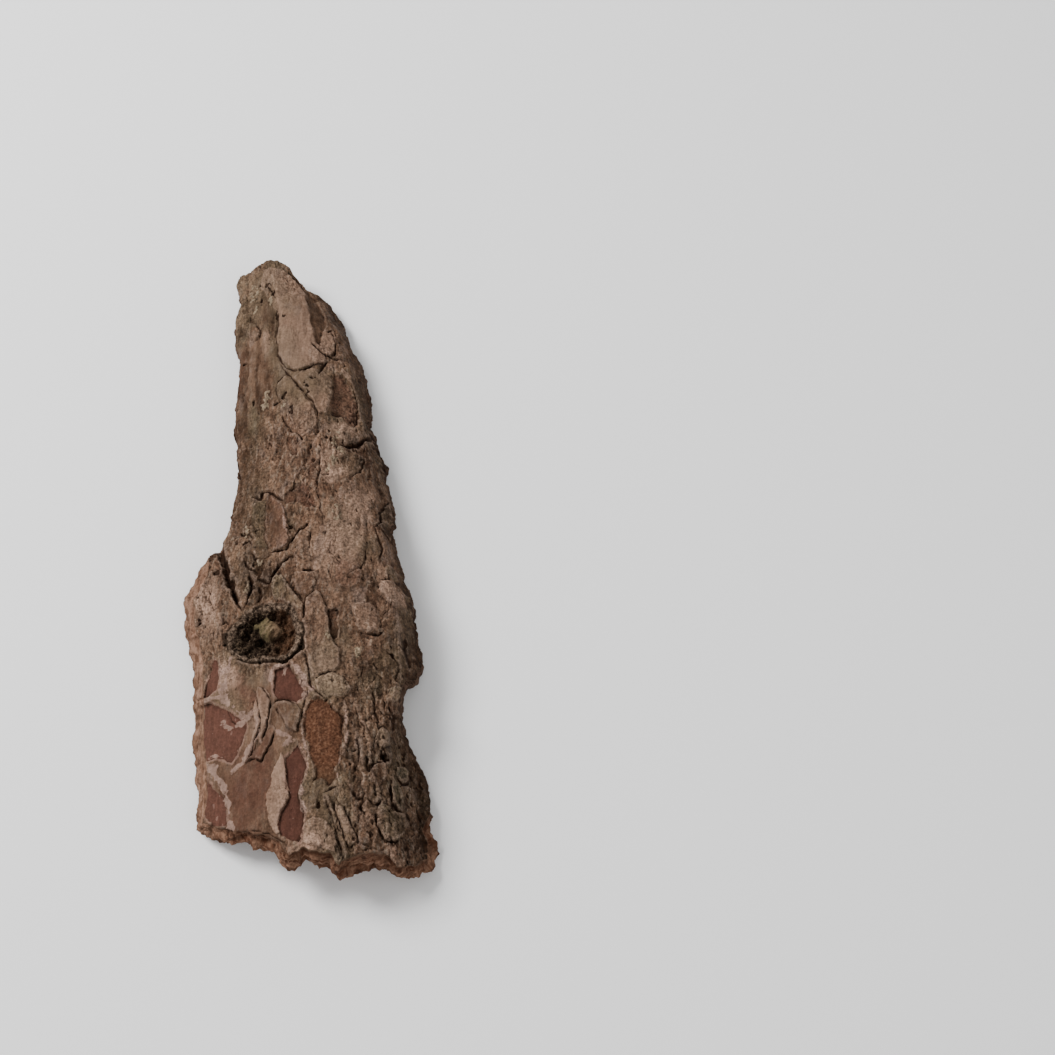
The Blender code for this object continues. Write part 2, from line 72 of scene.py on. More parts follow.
def smooth_noise(x, y, seed):
    """Lattice values from -1 to 1 blended with a fifth-power ease between whole-number points."""
    column = np.floor(x).astype(np.int64)
    row = np.floor(y).astype(np.int64)
    across = x - column
    along = y - row
    across = across ** 3 * (across * (across * 6 - 15) + 10)
    along = along ** 3 * (along * (along * 6 - 15) + 10)
    near = lattice_value(column, row, seed) * (1 - across)
    near = near + lattice_value(column + 1, row, seed) * across
    far = lattice_value(column, row + 1, seed) * (1 - across)
    far = far + lattice_value(column + 1, row + 1, seed) * across
    return 2 * (near * (1 - along) + far * along) - 1


def rough_noise(x, y, size, seed, octaves):
    """Sum of smooth noises, each turned, half the size and 0.55 of the height of the last."""
    total = np.zeros(np.shape(x))
    height = 1.0
    whole = 0.0
    for octave in range(octaves):
        turn = 0.5 + 1.1 * octave
        turned_x = (x * math.cos(turn) - y * math.sin(turn)) / size + 17.3 * octave
        turned_y = (x * math.sin(turn) + y * math.cos(turn)) / size
        total = total + height * smooth_noise(turned_x, turned_y, seed + octave)
        whole = whole + height
        height = height * 0.55
        size = size * 0.5
    return total / whole


def ease(value):
    """Soft step from 0 to 1: three squares less two cubes."""
    value = np.clip(value, 0, 1)
    return value * value * (3 - 2 * value)


def even_points(points, count):
    """Evenly spaced points along a broken line, by its travelled length."""
    points = np.array(points, float)
    travelled = np.concatenate([[0], np.cumsum(np.hypot(*np.diff(points, axis=0).T))])
    wanted = np.linspace(0, travelled[-1], count)
    return np.stack([np.interp(wanted, travelled, points[:, axis]) for axis in (0, 1)], axis=1)


def rim_ring():
    """Closed outline, anticlockwise from the bottom left corner: the four sides end to end."""
    bottom = even_points(BOTTOM_SIDE, COLUMN_COUNT + 1)
    right = even_points(RIGHT_SIDE, ROW_COUNT + 1)
    top = even_points(TOP_SIDE, COLUMN_COUNT + 1)
    left = even_points(LEFT_SIDE, ROW_COUNT + 1)
    return np.concatenate([bottom[:-1], right[:-1], top[::-1][:-1], left[::-1][:-1]])


def ring_normals(ring, reach):
    """Outward directions: the ring averaged over its neighbours, its run turned a quarter turn."""
    evened = np.zeros(ring.shape)
    for shift in range(-reach, reach + 1):
        evened = evened + np.roll(ring, shift, axis=0)
    run = np.roll(evened, -1, axis=0) - np.roll(evened, 1, axis=0)
    length = np.hypot(run[:, 0], run[:, 1])
    return np.stack([run[:, 1] / length, -run[:, 0] / length], axis=1)


def patch_between(ring, columns, rows):
    """Plan grid between the four sides: lengthwise blend plus crosswise blend less the corners."""
    bottom = ring[:columns + 1]
    right = ring[columns:columns + rows + 1]
    top = ring[columns + rows:2 * columns + rows + 1][::-1]
    left = np.concatenate([ring[2 * columns + rows:], ring[:1]])[::-1]
    u = np.linspace(0, 1, columns + 1)[None, :, None]
    v = np.linspace(0, 1, rows + 1)[:, None, None]
    lengthwise = (1 - v) * bottom[None] + v * top[None]
    crosswise = (1 - u) * left[:, None] + u * right[:, None]
    corners = (1 - u) * ((1 - v) * bottom[0] + v * top[0])
    corners = corners + u * ((1 - v) * bottom[-1] + v * top[-1])
    return lengthwise + crosswise - corners


# The slab's two sides: the weathered side is a long slope, a rounded crest and a steep flank, and
# the inner side is the hollow where the bark clasped the trunk. It stands on three low points.
SECTIONS = np.array([
    (-140, -39, 7.0, 16, 26.0, 38, 21.0, 53, 6.0),
    (-110, -40, 7.0, 17, 29.0, 38, 23.5, 51, 6.0),
    (-85, -44, 6.5, 16, 31.0, 35, 25.0, 43, 7.0),
    (-55, -46, 6.5, 14, 32.5, 38, 25.0, 45, 8.0),
    (-20, -51, 7.0, 12, 33.0, 34, 24.0, 40, 9.0),
    (10, -36, 9.0, 6, 32.0, 27, 22.0, 33, 8.0),
    (40, -34, 10.0, -1, 30.0, 22, 20.0, 28, 7.0),
    (65, -36, 10.0, -6, 27.5, 16, 18.0, 21, 6.5),
    (95, -38, 9.5, -13, 24.0, 8, 15.0, 13, 6.0),
    (120, -39, 9.0, -20, 20.0, -6, 13.0, 0, 6.0),
    (140, -39, 8.0, -24, 16.0, -10, 11.0, -6, 6.0)], float)
INNER_PLACES = np.array([-140, -70, 0, 70, 140], float)
INNER_CREST = np.array([13.5, 13, 11, 7, 4], float)
INNER_RIM = 0.9
FEET = [(-40, -72, 8.0), (44, -108, 8.0), (-20, 121, 9.0)]
FOOT_LEVEL = -1.0
THINNEST = 3.4


def flowing(place, places, values):
    """Cubic curve through the values, with the slope at each taken from its two neighbours."""
    slopes = np.gradient(values, places)
    index = np.clip(np.searchsorted(places, place) - 1, 0, len(places) - 2)
    span = places[index + 1] - places[index]
    part = np.clip((place - places[index]) / span, 0, 1)
    start = (1 + 2 * part) * (1 - part) ** 2 * values[index]
    start = start + part * (1 - part) ** 2 * span * slopes[index]
    end = part ** 2 * (3 - 2 * part) * values[index + 1]
    end = end + part ** 2 * (part - 1) * span * slopes[index + 1]
    return start + end


def section_limits(y):
    """Left rim, crest, shoulder and right rim (across, then height) at each place along."""
    return [flowing(y, SECTIONS[:, 0], SECTIONS[:, value]) for value in range(1, 9)]


def weathered_curve(x, y):
    """Crest less a 1.55th power to the left, a square to the shoulder, then a steep fall."""
    left_x, left_z, crest_x, crest_z, shoulder_x, shoulder_z, right_x, right_z = section_limits(y)
    left = np.clip((crest_x - x) / (crest_x - left_x), 0, 1.2)
    left_height = crest_z - (crest_z - left_z) * left ** 1.55
    over = np.clip((x - crest_x) / (shoulder_x - crest_x), 0, 1)
    top_height = crest_z - (crest_z - shoulder_z) * over ** 2
    down = np.clip((x - shoulder_x) / (right_x - shoulder_x), 0, 1.1)
    flank_height = shoulder_z - (shoulder_z - right_z) * down ** 0.9
    height = np.where(x < crest_x, left_height, np.where(x < shoulder_x, top_height, flank_height))
    return height + 1.3 * rough_noise(x, y * 0.6, 34.0, 81, 2)


def inner_height(x, y):
    """Arch of power 2.2 between the rims, with long fibres, eased to the ground at the feet."""
    limits = section_limits(y)
    middle = 0.5 * (limits[0] + limits[6])
    half = 0.5 * (limits[6] - limits[0]) + 1.0
    crest = flowing(y, INNER_PLACES, INNER_CREST)
    share = np.clip(np.abs(x - middle) / half, 0, 1)
    height = INNER_RIM + (crest - INNER_RIM) * (1 - share ** 2.2)
    height = height + 0.5 * rough_noise(x, y * 0.25, 9.0, 91, 3)
    height = height + 0.14 * rough_noise(x, y * 0.06, 1.6, 95, 3)
    for foot_x, foot_y, reach in FEET:
        away = ((x - foot_x) / reach) ** 2 + ((y - foot_y) / (1.4 * reach)) ** 2
        near = np.exp(-away ** 2)
        height = height * (1 - near) + FOOT_LEVEL * near
    return np.maximum(height, 0)


# Scales of the weathered side: thin plates of cork that flake off in layers and leave smooth
# reddish patches bare, and one grainy hollow. A scale is a height, the width of its broken edge,
# how pale and how red it is, and an outline; a bare patch is a height, an edge and an outline.
PLATES = [
    (0.9, 0.9, 0.5, 0.05, [(-28, 129), (-18, 129), (-12, 122), (-9, 116.5), (-6.5, 109),
        (-4.5, 101), (-3, 93), (-1, 87.5), (2.5, 83.5), (2.5, 80), (-3, 76.5), (-7.5, 74),
        (-11, 74.5), (-15, 78.5), (-17.5, 84), (-19, 89.5), (-18.5, 96), (-18.5, 103),
        (-22, 110.5), (-27.5, 119)]),
    (-0.9, 1.6, -0.45, 0, [(-9, 118), (-4.5, 116), (-2, 111.5), (0.5, 105), (1.5, 101.5), (1, 96),
        (-0.5, 87.5), (-2, 89), (-2.5, 94), (-4, 99), (-5, 104), (-6.5, 109)]),
    (1, 0.8, 0.5, 0, [(1, 97), (4, 98.5), (6, 94), (6.5, 90.5), (6, 86.5), (5, 83.5), (2.5, 83.5),
        (0, 85.5), (-0.5, 88.5), (0, 93)]),
    (1, 1.6, -0.05, -0.1, [(-3.5, 116), (-1, 116), (2.5, 109.5), (7, 103.5), (10, 95.5), (11, 87),
        (8.5, 82.5), (6.5, 88.5), (5.5, 96), (1.5, 99.5), (-0.5, 107.5)]),
    (0.9, 0.8, 0.35, 0, [(-10, 70.5), (-7, 67.5), (-3.5, 63), (-1, 58), (2, 52.5), (4.5, 52),
        (6, 59.5), (6.5, 66), (5.5, 71), (1.5, 74.5), (-2.5, 75), (-6, 73.5)]),
    (0.8, 0.9, 0.2, -0.1, [(-14, 72), (-10.5, 69.5), (-6.5, 64.5), (-3.5, 59), (-0.5, 54),
        (1.5, 49), (0, 42.5), (-4, 41), (-7.5, 44.5), (-10, 51), (-12.5, 57.5), (-16, 62),
        (-17, 68)]),
    (-1.3, 2.4, -0.34, 0.4, [(6, 74), (10, 74), (13.5, 68.5), (16, 63), (17.5, 55.5), (17, 50),
        (14, 49), (10.5, 52.5), (6.5, 52.5), (5.5, 57), (6.5, 65)]),
    (0.8, 0.8, 0.6, -0.1, [(9, 78), (11, 77.5), (13, 75), (14.5, 71), (15.5, 68.5), (13.5, 71),
        (11, 73.5), (9.5, 75.5)]),
    (0.6, 0.6, 0.22, 0, [(-12.5, 46), (-8.5, 44), (-5, 41), (-4, 38), (-4.5, 34), (-3, 31),
        (-3.5, 27.5), (-5, 24), (-7, 21), (-9.5, 21.5), (-10.5, 26), (-11.5, 33), (-12.5, 40)]),
    (-0.9, 0.6, -0.4, 0.2, [(-10.5, 42.5), (-11, 39.5), (-9.5, 37), (-9, 33.5), (-6.5, 33),
        (-6, 36.5), (-4.5, 38.5), (-7.5, 41)]),
    (-0.6, 0.7, -0.5, 0.3, [(-10.5, 16), (-7, 19.5), (-2.5, 20), (1, 14), (2.5, 10), (-0.5, 8.5),
        (-3.5, 11.5), (-6.5, 12), (-9.5, 11.5)]),
    (1.2, 0.8, -0.32, 0.4, [(-18, 18.5), (-14.5, 15), (-11, 12), (-10, 8), (-8, 0), (-7.5, -4.5),
        (-8.5, -8), (-13, -9), (-16, -7), (-17.5, -1), (-18, 7), (-18, 14)]),
    (0.6, 1.2, -0.1, -0.2, [(-25, 15), (-18.5, 15.5), (-18.5, 6), (-18, -3), (-16.5, -7.5),
        (-21.5, -4.5), (-24, 3)]),
    (0.4, 1.4, 0.1, -0.3, [(13.5, 35), (17, 36), (20, 33.5), (20, 30), (18.5, 26), (16, 23),
        (12.5, 24), (11, 28), (11, 32.5)]),
    (0.9, 2.5, 0.15, 0, [(13.5, 22), (18.5, 21), (21, 13), (23.5, -1), (23, -8), (21, -14.5),
        (22.5, -19), (18, -22), (13.5, -20.5), (10, -15.5), (9, -6.5), (9, 4.5), (11, 14)]),
    (1.8, 0.8, -0.3, -0.4, [(30.5, 20), (28.5, 15), (27.5, 11), (29, 6), (28, 3.5), (32, 0.5),
        (33, 4.5), (32, 13.5)]),
    (1.4, 0.7, 0.1, -0.4, [(-12, -18), (-9.5, -20), (-6.5, -24.5), (-3.5, -29), (0.5, -34),
        (0, -36.5), (-2.5, -35), (-9, -30.5), (-12.5, -29.5), (-13.5, -24), (-13.5, -20)]),
    (0.8, 0.8, 0, 0, [(-4.5, -19.5), (-1, -19.5), (3.5, -19.5), (4.5, -23.5), (3.5, -28),
        (1.5, -30.5), (-2, -28), (-5, -23)]),
    (1.5, 0.9, 0.2, 0.05, [(1.5, -31.5), (5, -27.5), (7.5, -29.5), (9, -36), (11, -44.5),
        (12.5, -50), (15.5, -52.5), (16, -58), (13.5, -61.5), (9, -62.5), (6, -64.5), (3.5, -59),
        (1.5, -51.5), (0.5, -43.5), (1, -36)]),
    (-1.1, 0.9, -0.5, 0.2, [(9.5, -35.5), (14, -36), (13, -40.5), (14.5, -44), (14, -48),
        (12.5, -49), (11, -46), (10, -41)]),
    (2.2, 3.2, 0.4, 0, [(20, -34), (23, -32), (26, -32.5), (29.5, -36.5), (30, -40.5), (29, -44.5),
        (25.5, -46.5), (22.5, -44.5), (20.5, -40)]),
    (1.8, 2.2, 0.15, -0.4, [(31.5, -14.5), (33.5, -13.5), (36, -14.5), (36.5, -18), (35, -20.5),
        (32, -20), (31, -17.5)]),
    (2.2, 3, 0.35, 0, [(30, -22), (34, -20.5), (37.5, -21.5), (39.5, -23), (39, -28.5), (36, -32),
        (32.5, -30), (29.5, -26)]),
    (0.9, 0.8, 0.3, -0.45, [(6, -65), (9, -63), (13, -62), (17, -64), (20, -68.5), (18, -71.5),
        (14, -71.5), (10.5, -72), (8.5, -70.5)]),
    (0.8, 0.8, 0.35, -0.1, [(18.5, -72.5), (20, -77), (20, -83.5), (20, -90), (19, -95),
        (17.5, -94), (18.5, -88), (18.5, -81), (17.5, -76)]),
    (1.1, 0.6, 0.2, 0, [(-16.5, -64.5), (-13.5, -66.5), (-11.5, -70), (-11, -74), (-11, -78.5),
        (-12.5, -83), (-14, -87), (-15, -87), (-15, -82), (-15, -76.5), (-16.5, -71), (-18, -67)]),
    (0.9, 0.6, 0.25, 0.1, [(-18, -68), (-16, -73.5), (-15.5, -77.5), (-15.5, -82.5),
        (-16.5, -87.5), (-18, -92), (-20.5, -94.5), (-22, -92), (-19.5, -89), (-17.5, -84),
        (-16.5, -79), (-18.5, -73)]),
    (0.8, 0.6, 0, 0.1, [(-11.5, -78.5), (-9, -82.5), (-10, -88), (-12.5, -91.5), (-13.5, -94),
        (-16.5, -93.5), (-16, -90), (-14, -87.5), (-12.5, -83)]),
    (1.3, 0.7, 0.12, 0, [(-8.5, -72), (-5, -71.5), (-1, -73.5), (1.5, -77), (1, -79.5), (0, -84.5),
        (-2, -83.5), (-4.5, -81.5), (-6.5, -78.5), (-7.5, -76)]),
    (0.8, 0.5, 0.9, -0.15, [(-5.5, -92), (-4.5, -93.5), (-4, -101.5), (-4, -106), (-2, -108),
        (-3, -111.5), (-5, -114.5), (-5.5, -117.5), (-5, -122.5), (-6, -123), (-8, -121),
        (-9.5, -118), (-11, -111.5), (-11.5, -107.5), (-10, -103.5), (-9.5, -100), (-8, -96.5),
        (-6.5, -94.5)]),
    (0.9, 0.8, 0.45, 0, [(8.5, -117), (12, -118.5), (16, -123), (16.5, -127), (16, -131),
        (11, -129), (4, -126.5), (4.5, -119.5)]),
    (1.1, 0.7, 0.35, 0, [(16, -112.5), (19, -114), (22, -120), (24.5, -125), (24.5, -127),
        (22, -128.5), (20, -126.5), (17.5, -121), (15.5, -115.5)]),
    (0.7, 0.7, 0.2, 0, [(11.5, -109), (13.5, -109.5), (15, -113.5), (17.5, -120), (20, -127),
        (21, -132), (19.5, -131.5), (17.5, -127), (15, -120), (12.5, -113.5)]),
    (1.1, 0.8, 0.5, -0.3, [(30.5, -83), (33, -82), (35, -84), (35, -88.5), (33, -90.5),
        (30.5, -88)]),
    (1.2, 0.8, 0.5, -0.35, [(34, -67), (37, -64.5), (41.5, -63), (39.5, -66.5), (37.5, -69.5),
        (36, -72.5), (34, -71)]),
    (1.4, 0.8, -0.4, 0.3, [(29.5, -97), (31.5, -95.5), (33.5, -96), (34.5, -99), (34, -103),
        (31.5, -105), (29, -103.5), (28.5, -100)]),
    (1.8, 1, 0.1, -0.25, [(38, -96), (40.5, -94.5), (42.5, -96), (42.5, -99.5), (40, -102),
        (38, -100.5)]),
    (1.5, 0.8, 0.1, -0.3, [(37.5, -102), (39.5, -103.5), (41, -107.5), (41, -113), (39, -113),
        (37.5, -109.5), (37, -105)]),
    (1.3, 0.9, 0.1, -0.25, [(31, -114), (34, -112), (37.5, -114), (41.5, -114), (43, -117),
        (41, -122), (38.5, -125), (34.5, -125), (32, -120)]),
    (0.9, 0.8, 0.2, 0.1, [(24, -127.5), (29, -129.5), (34, -129), (34.5, -130.5), (30, -132),
        (25, -131)]),
    (0.9, 1.4, 0.2, 0.1, [(-32, 104), (-29.5, 102.5), (-27, 98.5), (-26.5, 95.5), (-28, 93.5),
        (-31, 94.5), (-33, 99.5)]),
    (0.7, 0.8, 0.1, 0, [(-6, -5), (-3, -0.5), (0.5, -1.5), (2.5, -8.5), (2, -14.5), (-1.5, -13.5),
        (-4, -12.5), (-7.5, -10)]),
    (0.8, 1.2, 0, 0.2, [(13, -15), (18.5, -16), (22.5, -19.5), (22, -24.5), (17.5, -27.5),
        (13.5, -27), (12, -21.5)])]
BARE_PATCHES = [
    (-1, 0.6, [(-40.5, -67), (-35, -68.5), (-31.5, -70.5), (-28, -72.5), (-23.5, -76), (-21, -77),
        (-20.5, -81.5), (-22, -85.5), (-24, -90.5), (-26.5, -93), (-29.5, -91), (-33.5, -90.5),
        (-39, -91.5), (-40, -86), (-40.5, -73.5)]),
    (-1.1, 0.6, [(-10.5, -59), (-6.5, -58.5), (-4.5, -57.5), (-2.5, -60.5), (-0.5, -64.5),
        (2, -68.5), (2.5, -70.5), (-1, -73), (-3.5, -71.5), (-8, -70.5), (-10, -68), (-11, -64)]),
    (-0.9, 0.6, [(-37, -49.5), (-35, -50), (-33.5, -56), (-34.5, -62), (-37.5, -65), (-40, -65.5),
        (-39.5, -61.5), (-38, -56.5)]),
    (-1, 0.6, [(-4, -94), (0.5, -89.5), (3, -94), (4.5, -99), (3, -103.5), (1, -108),
        (2.5, -111.5), (4.5, -115), (4, -120.5), (3, -126.5), (0, -125.5), (-4.5, -124),
        (-6, -119), (-4.5, -114.5), (-2, -109), (-4, -101.5)]),
    (-0.9, 0.6, [(-39.5, -97.5), (-37.5, -96.5), (-33, -102.5), (-29, -106), (-27.5, -112),
        (-27, -117.5), (-32, -117), (-34, -114.5), (-37.5, -110.5), (-39, -103.5)])]
GRAINY_HOLLOW = [(4.5, -72), (8.5, -71.5), (11, -73), (12.5, -72), (14.5, -76.5), (18, -79),
    (17.5, -84), (19, -87), (17.5, -92.5), (17.5, -97), (15, -99.5), (15.5, -103), (12.5, -105.5),
    (9.5, -103), (7.5, -104.5), (6.5, -99), (4.5, -92), (4, -87), (2.5, -83), (3, -76.5)]
HOLLOW_DEPTH = 1.1
FAR = 4.0


def inside_distance(points, x, y):
    """Distance to a closed outline, positive inside it: least distance to a side, with the sign
    from how many sides lie to one hand."""
    inside = np.zeros(np.shape(x), bool)
    nearest = np.full(np.shape(x), 1000.0)
    for (ax, ay), (bx, by) in zip(points, points[1:] + points[:1]):
        run_x = bx - ax
        run_y = by - ay
        part = np.clip(((x - ax) * run_x + (y - ay) * run_y) / (run_x ** 2 + run_y ** 2), 0, 1)
        nearest = np.minimum(nearest, np.hypot(x - ax - part * run_x, y - ay - part * run_y))
        if run_y:
            crossed = (ay > y) != (by > y)
            inside = inside ^ (crossed & (x < ax + (y - ay) * run_x / run_y))
    return np.where(inside, nearest, -nearest)


def close_to(points, x, y):
    """Places less than 4 mm from the box round an outline or a path."""
    low_x, low_y = np.min(points, axis=0) - FAR
    high_x, high_y = np.max(points, axis=0) + FAR
    return (x > low_x) & (x < high_x) & (y > low_y) & (y < high_y)


def within_outline(points, x, y):
    """Distance inside a closed outline, held between -4 and 4 mm."""
    within = np.full(x.shape, -FAR)
    near = close_to(points, x, y)
    within[near] = np.clip(inside_distance(points, x[near], y[near]), -FAR, FAR)
    return within


def frayed(x, y, seed, wide):
    """Places moved by coarse noise of 7 mm and fine noise of 2 mm, so that outlines fray."""
    fine = 0.5 * rough_noise(x, y, 2.2, seed + 5, 3)
    return wide * rough_noise(x, y, 7.0, seed, 2) + fine


def terraces(height, step, riser):
    """Smooth heights rounded into flat steps; riser is the sloping share of a step."""
    level = np.floor(height / step)
    part = height / step - level
    return step * (level + ease((part - 1 + riser) / riser)), level


def cork_cells(x, y, seed):
    """Jittered points, one in each unit square: the nearest one's random number, how much nearer
    it is than the next, and the distance to it."""
    column = np.floor(x).astype(np.int64)
    row = np.floor(y).astype(np.int64)
    nearest = np.full(x.shape, 9.0)
    second = np.full(x.shape, 9.0)
    number = np.zeros(x.shape)
    for across in (-1, 0, 1):
        for along in (-1, 0, 1):
            cell_x = column + across
            cell_y = row + along
            away = np.hypot(cell_x + lattice_value(cell_x, cell_y, seed) - x,
                            cell_y + lattice_value(cell_x, cell_y, seed + 1) - y)
            closer = away < nearest
            second = np.where(closer, nearest, np.minimum(second, away))
            number = np.where(closer, lattice_value(cell_x, cell_y, seed + 2), number)
            nearest = np.where(closer, away, nearest)
    return number, second - nearest, nearest


GRAIN_SLANT = 0.16


def long_flakes(x, y):
    """Flakes three times as long as wide: drawn-out noise rounded to steps, their level, and how
    open the thin splits are where another drawn-out noise changes sign."""
    slanted = x + GRAIN_SLANT * y + 1.8 * rough_noise(x, y, 5.0, 137, 3)
    steps, level = terraces(2.6 * rough_noise(slanted, y * 0.34, 4.4, 71, 4), 0.5, 0.3)
    split = rough_noise(slanted, y * 0.2, 2.6, 133, 2)
    where = ease((rough_noise(x, y * 0.5, 5.0, 139, 2) + 0.03) / 0.2)
    return steps, level, (1 - ease(np.abs(split) / 0.12)) * where


def bell(x, y, middle_x, middle_y, reach_x, reach_y):
    """Bell curve of the distance to a middle, 1 there."""
    return np.exp(-(((x - middle_x) / reach_x) ** 2 + ((y - middle_y) / reach_y) ** 2))


# Soft areas that are more or less crumbly than the rest: an amount, a middle and two reaches.
ROUGH_AREAS = [(0.5, -22, -14, 7, 16), (0.2, 4, 42, 12, 14), (0.2, -44, -28, 6, 18),
               (0.25, 8, 30, 12, 18), (-0.42, -9, 95, 11, 26), (-0.4, -13, 2, 5, 12),
               (-0.3, -28, 88, 10, 34), (-0.25, -4, 62, 9, 14)]


def roughness_share(x, y):
    """Crumbly areas near 1, smooth plates near 0: a base of 0.5, more at the lower right, less at
    the lower left, and the soft areas as bell curves."""
    share = 0.5 + 0.5 * ease((x - 12) / 12) * ease((-50 - y) / 20)
    share = share - 0.35 * ease((2 - x) / 8) * ease((-56 - y) / 8)
    for amount, *area in ROUGH_AREAS:
        share = share + amount * bell(x, y, *area)
    share = share + 0.2 * rough_noise(x, y, 12.0, 181, 2)
    return np.clip(share, 0.06, 1)


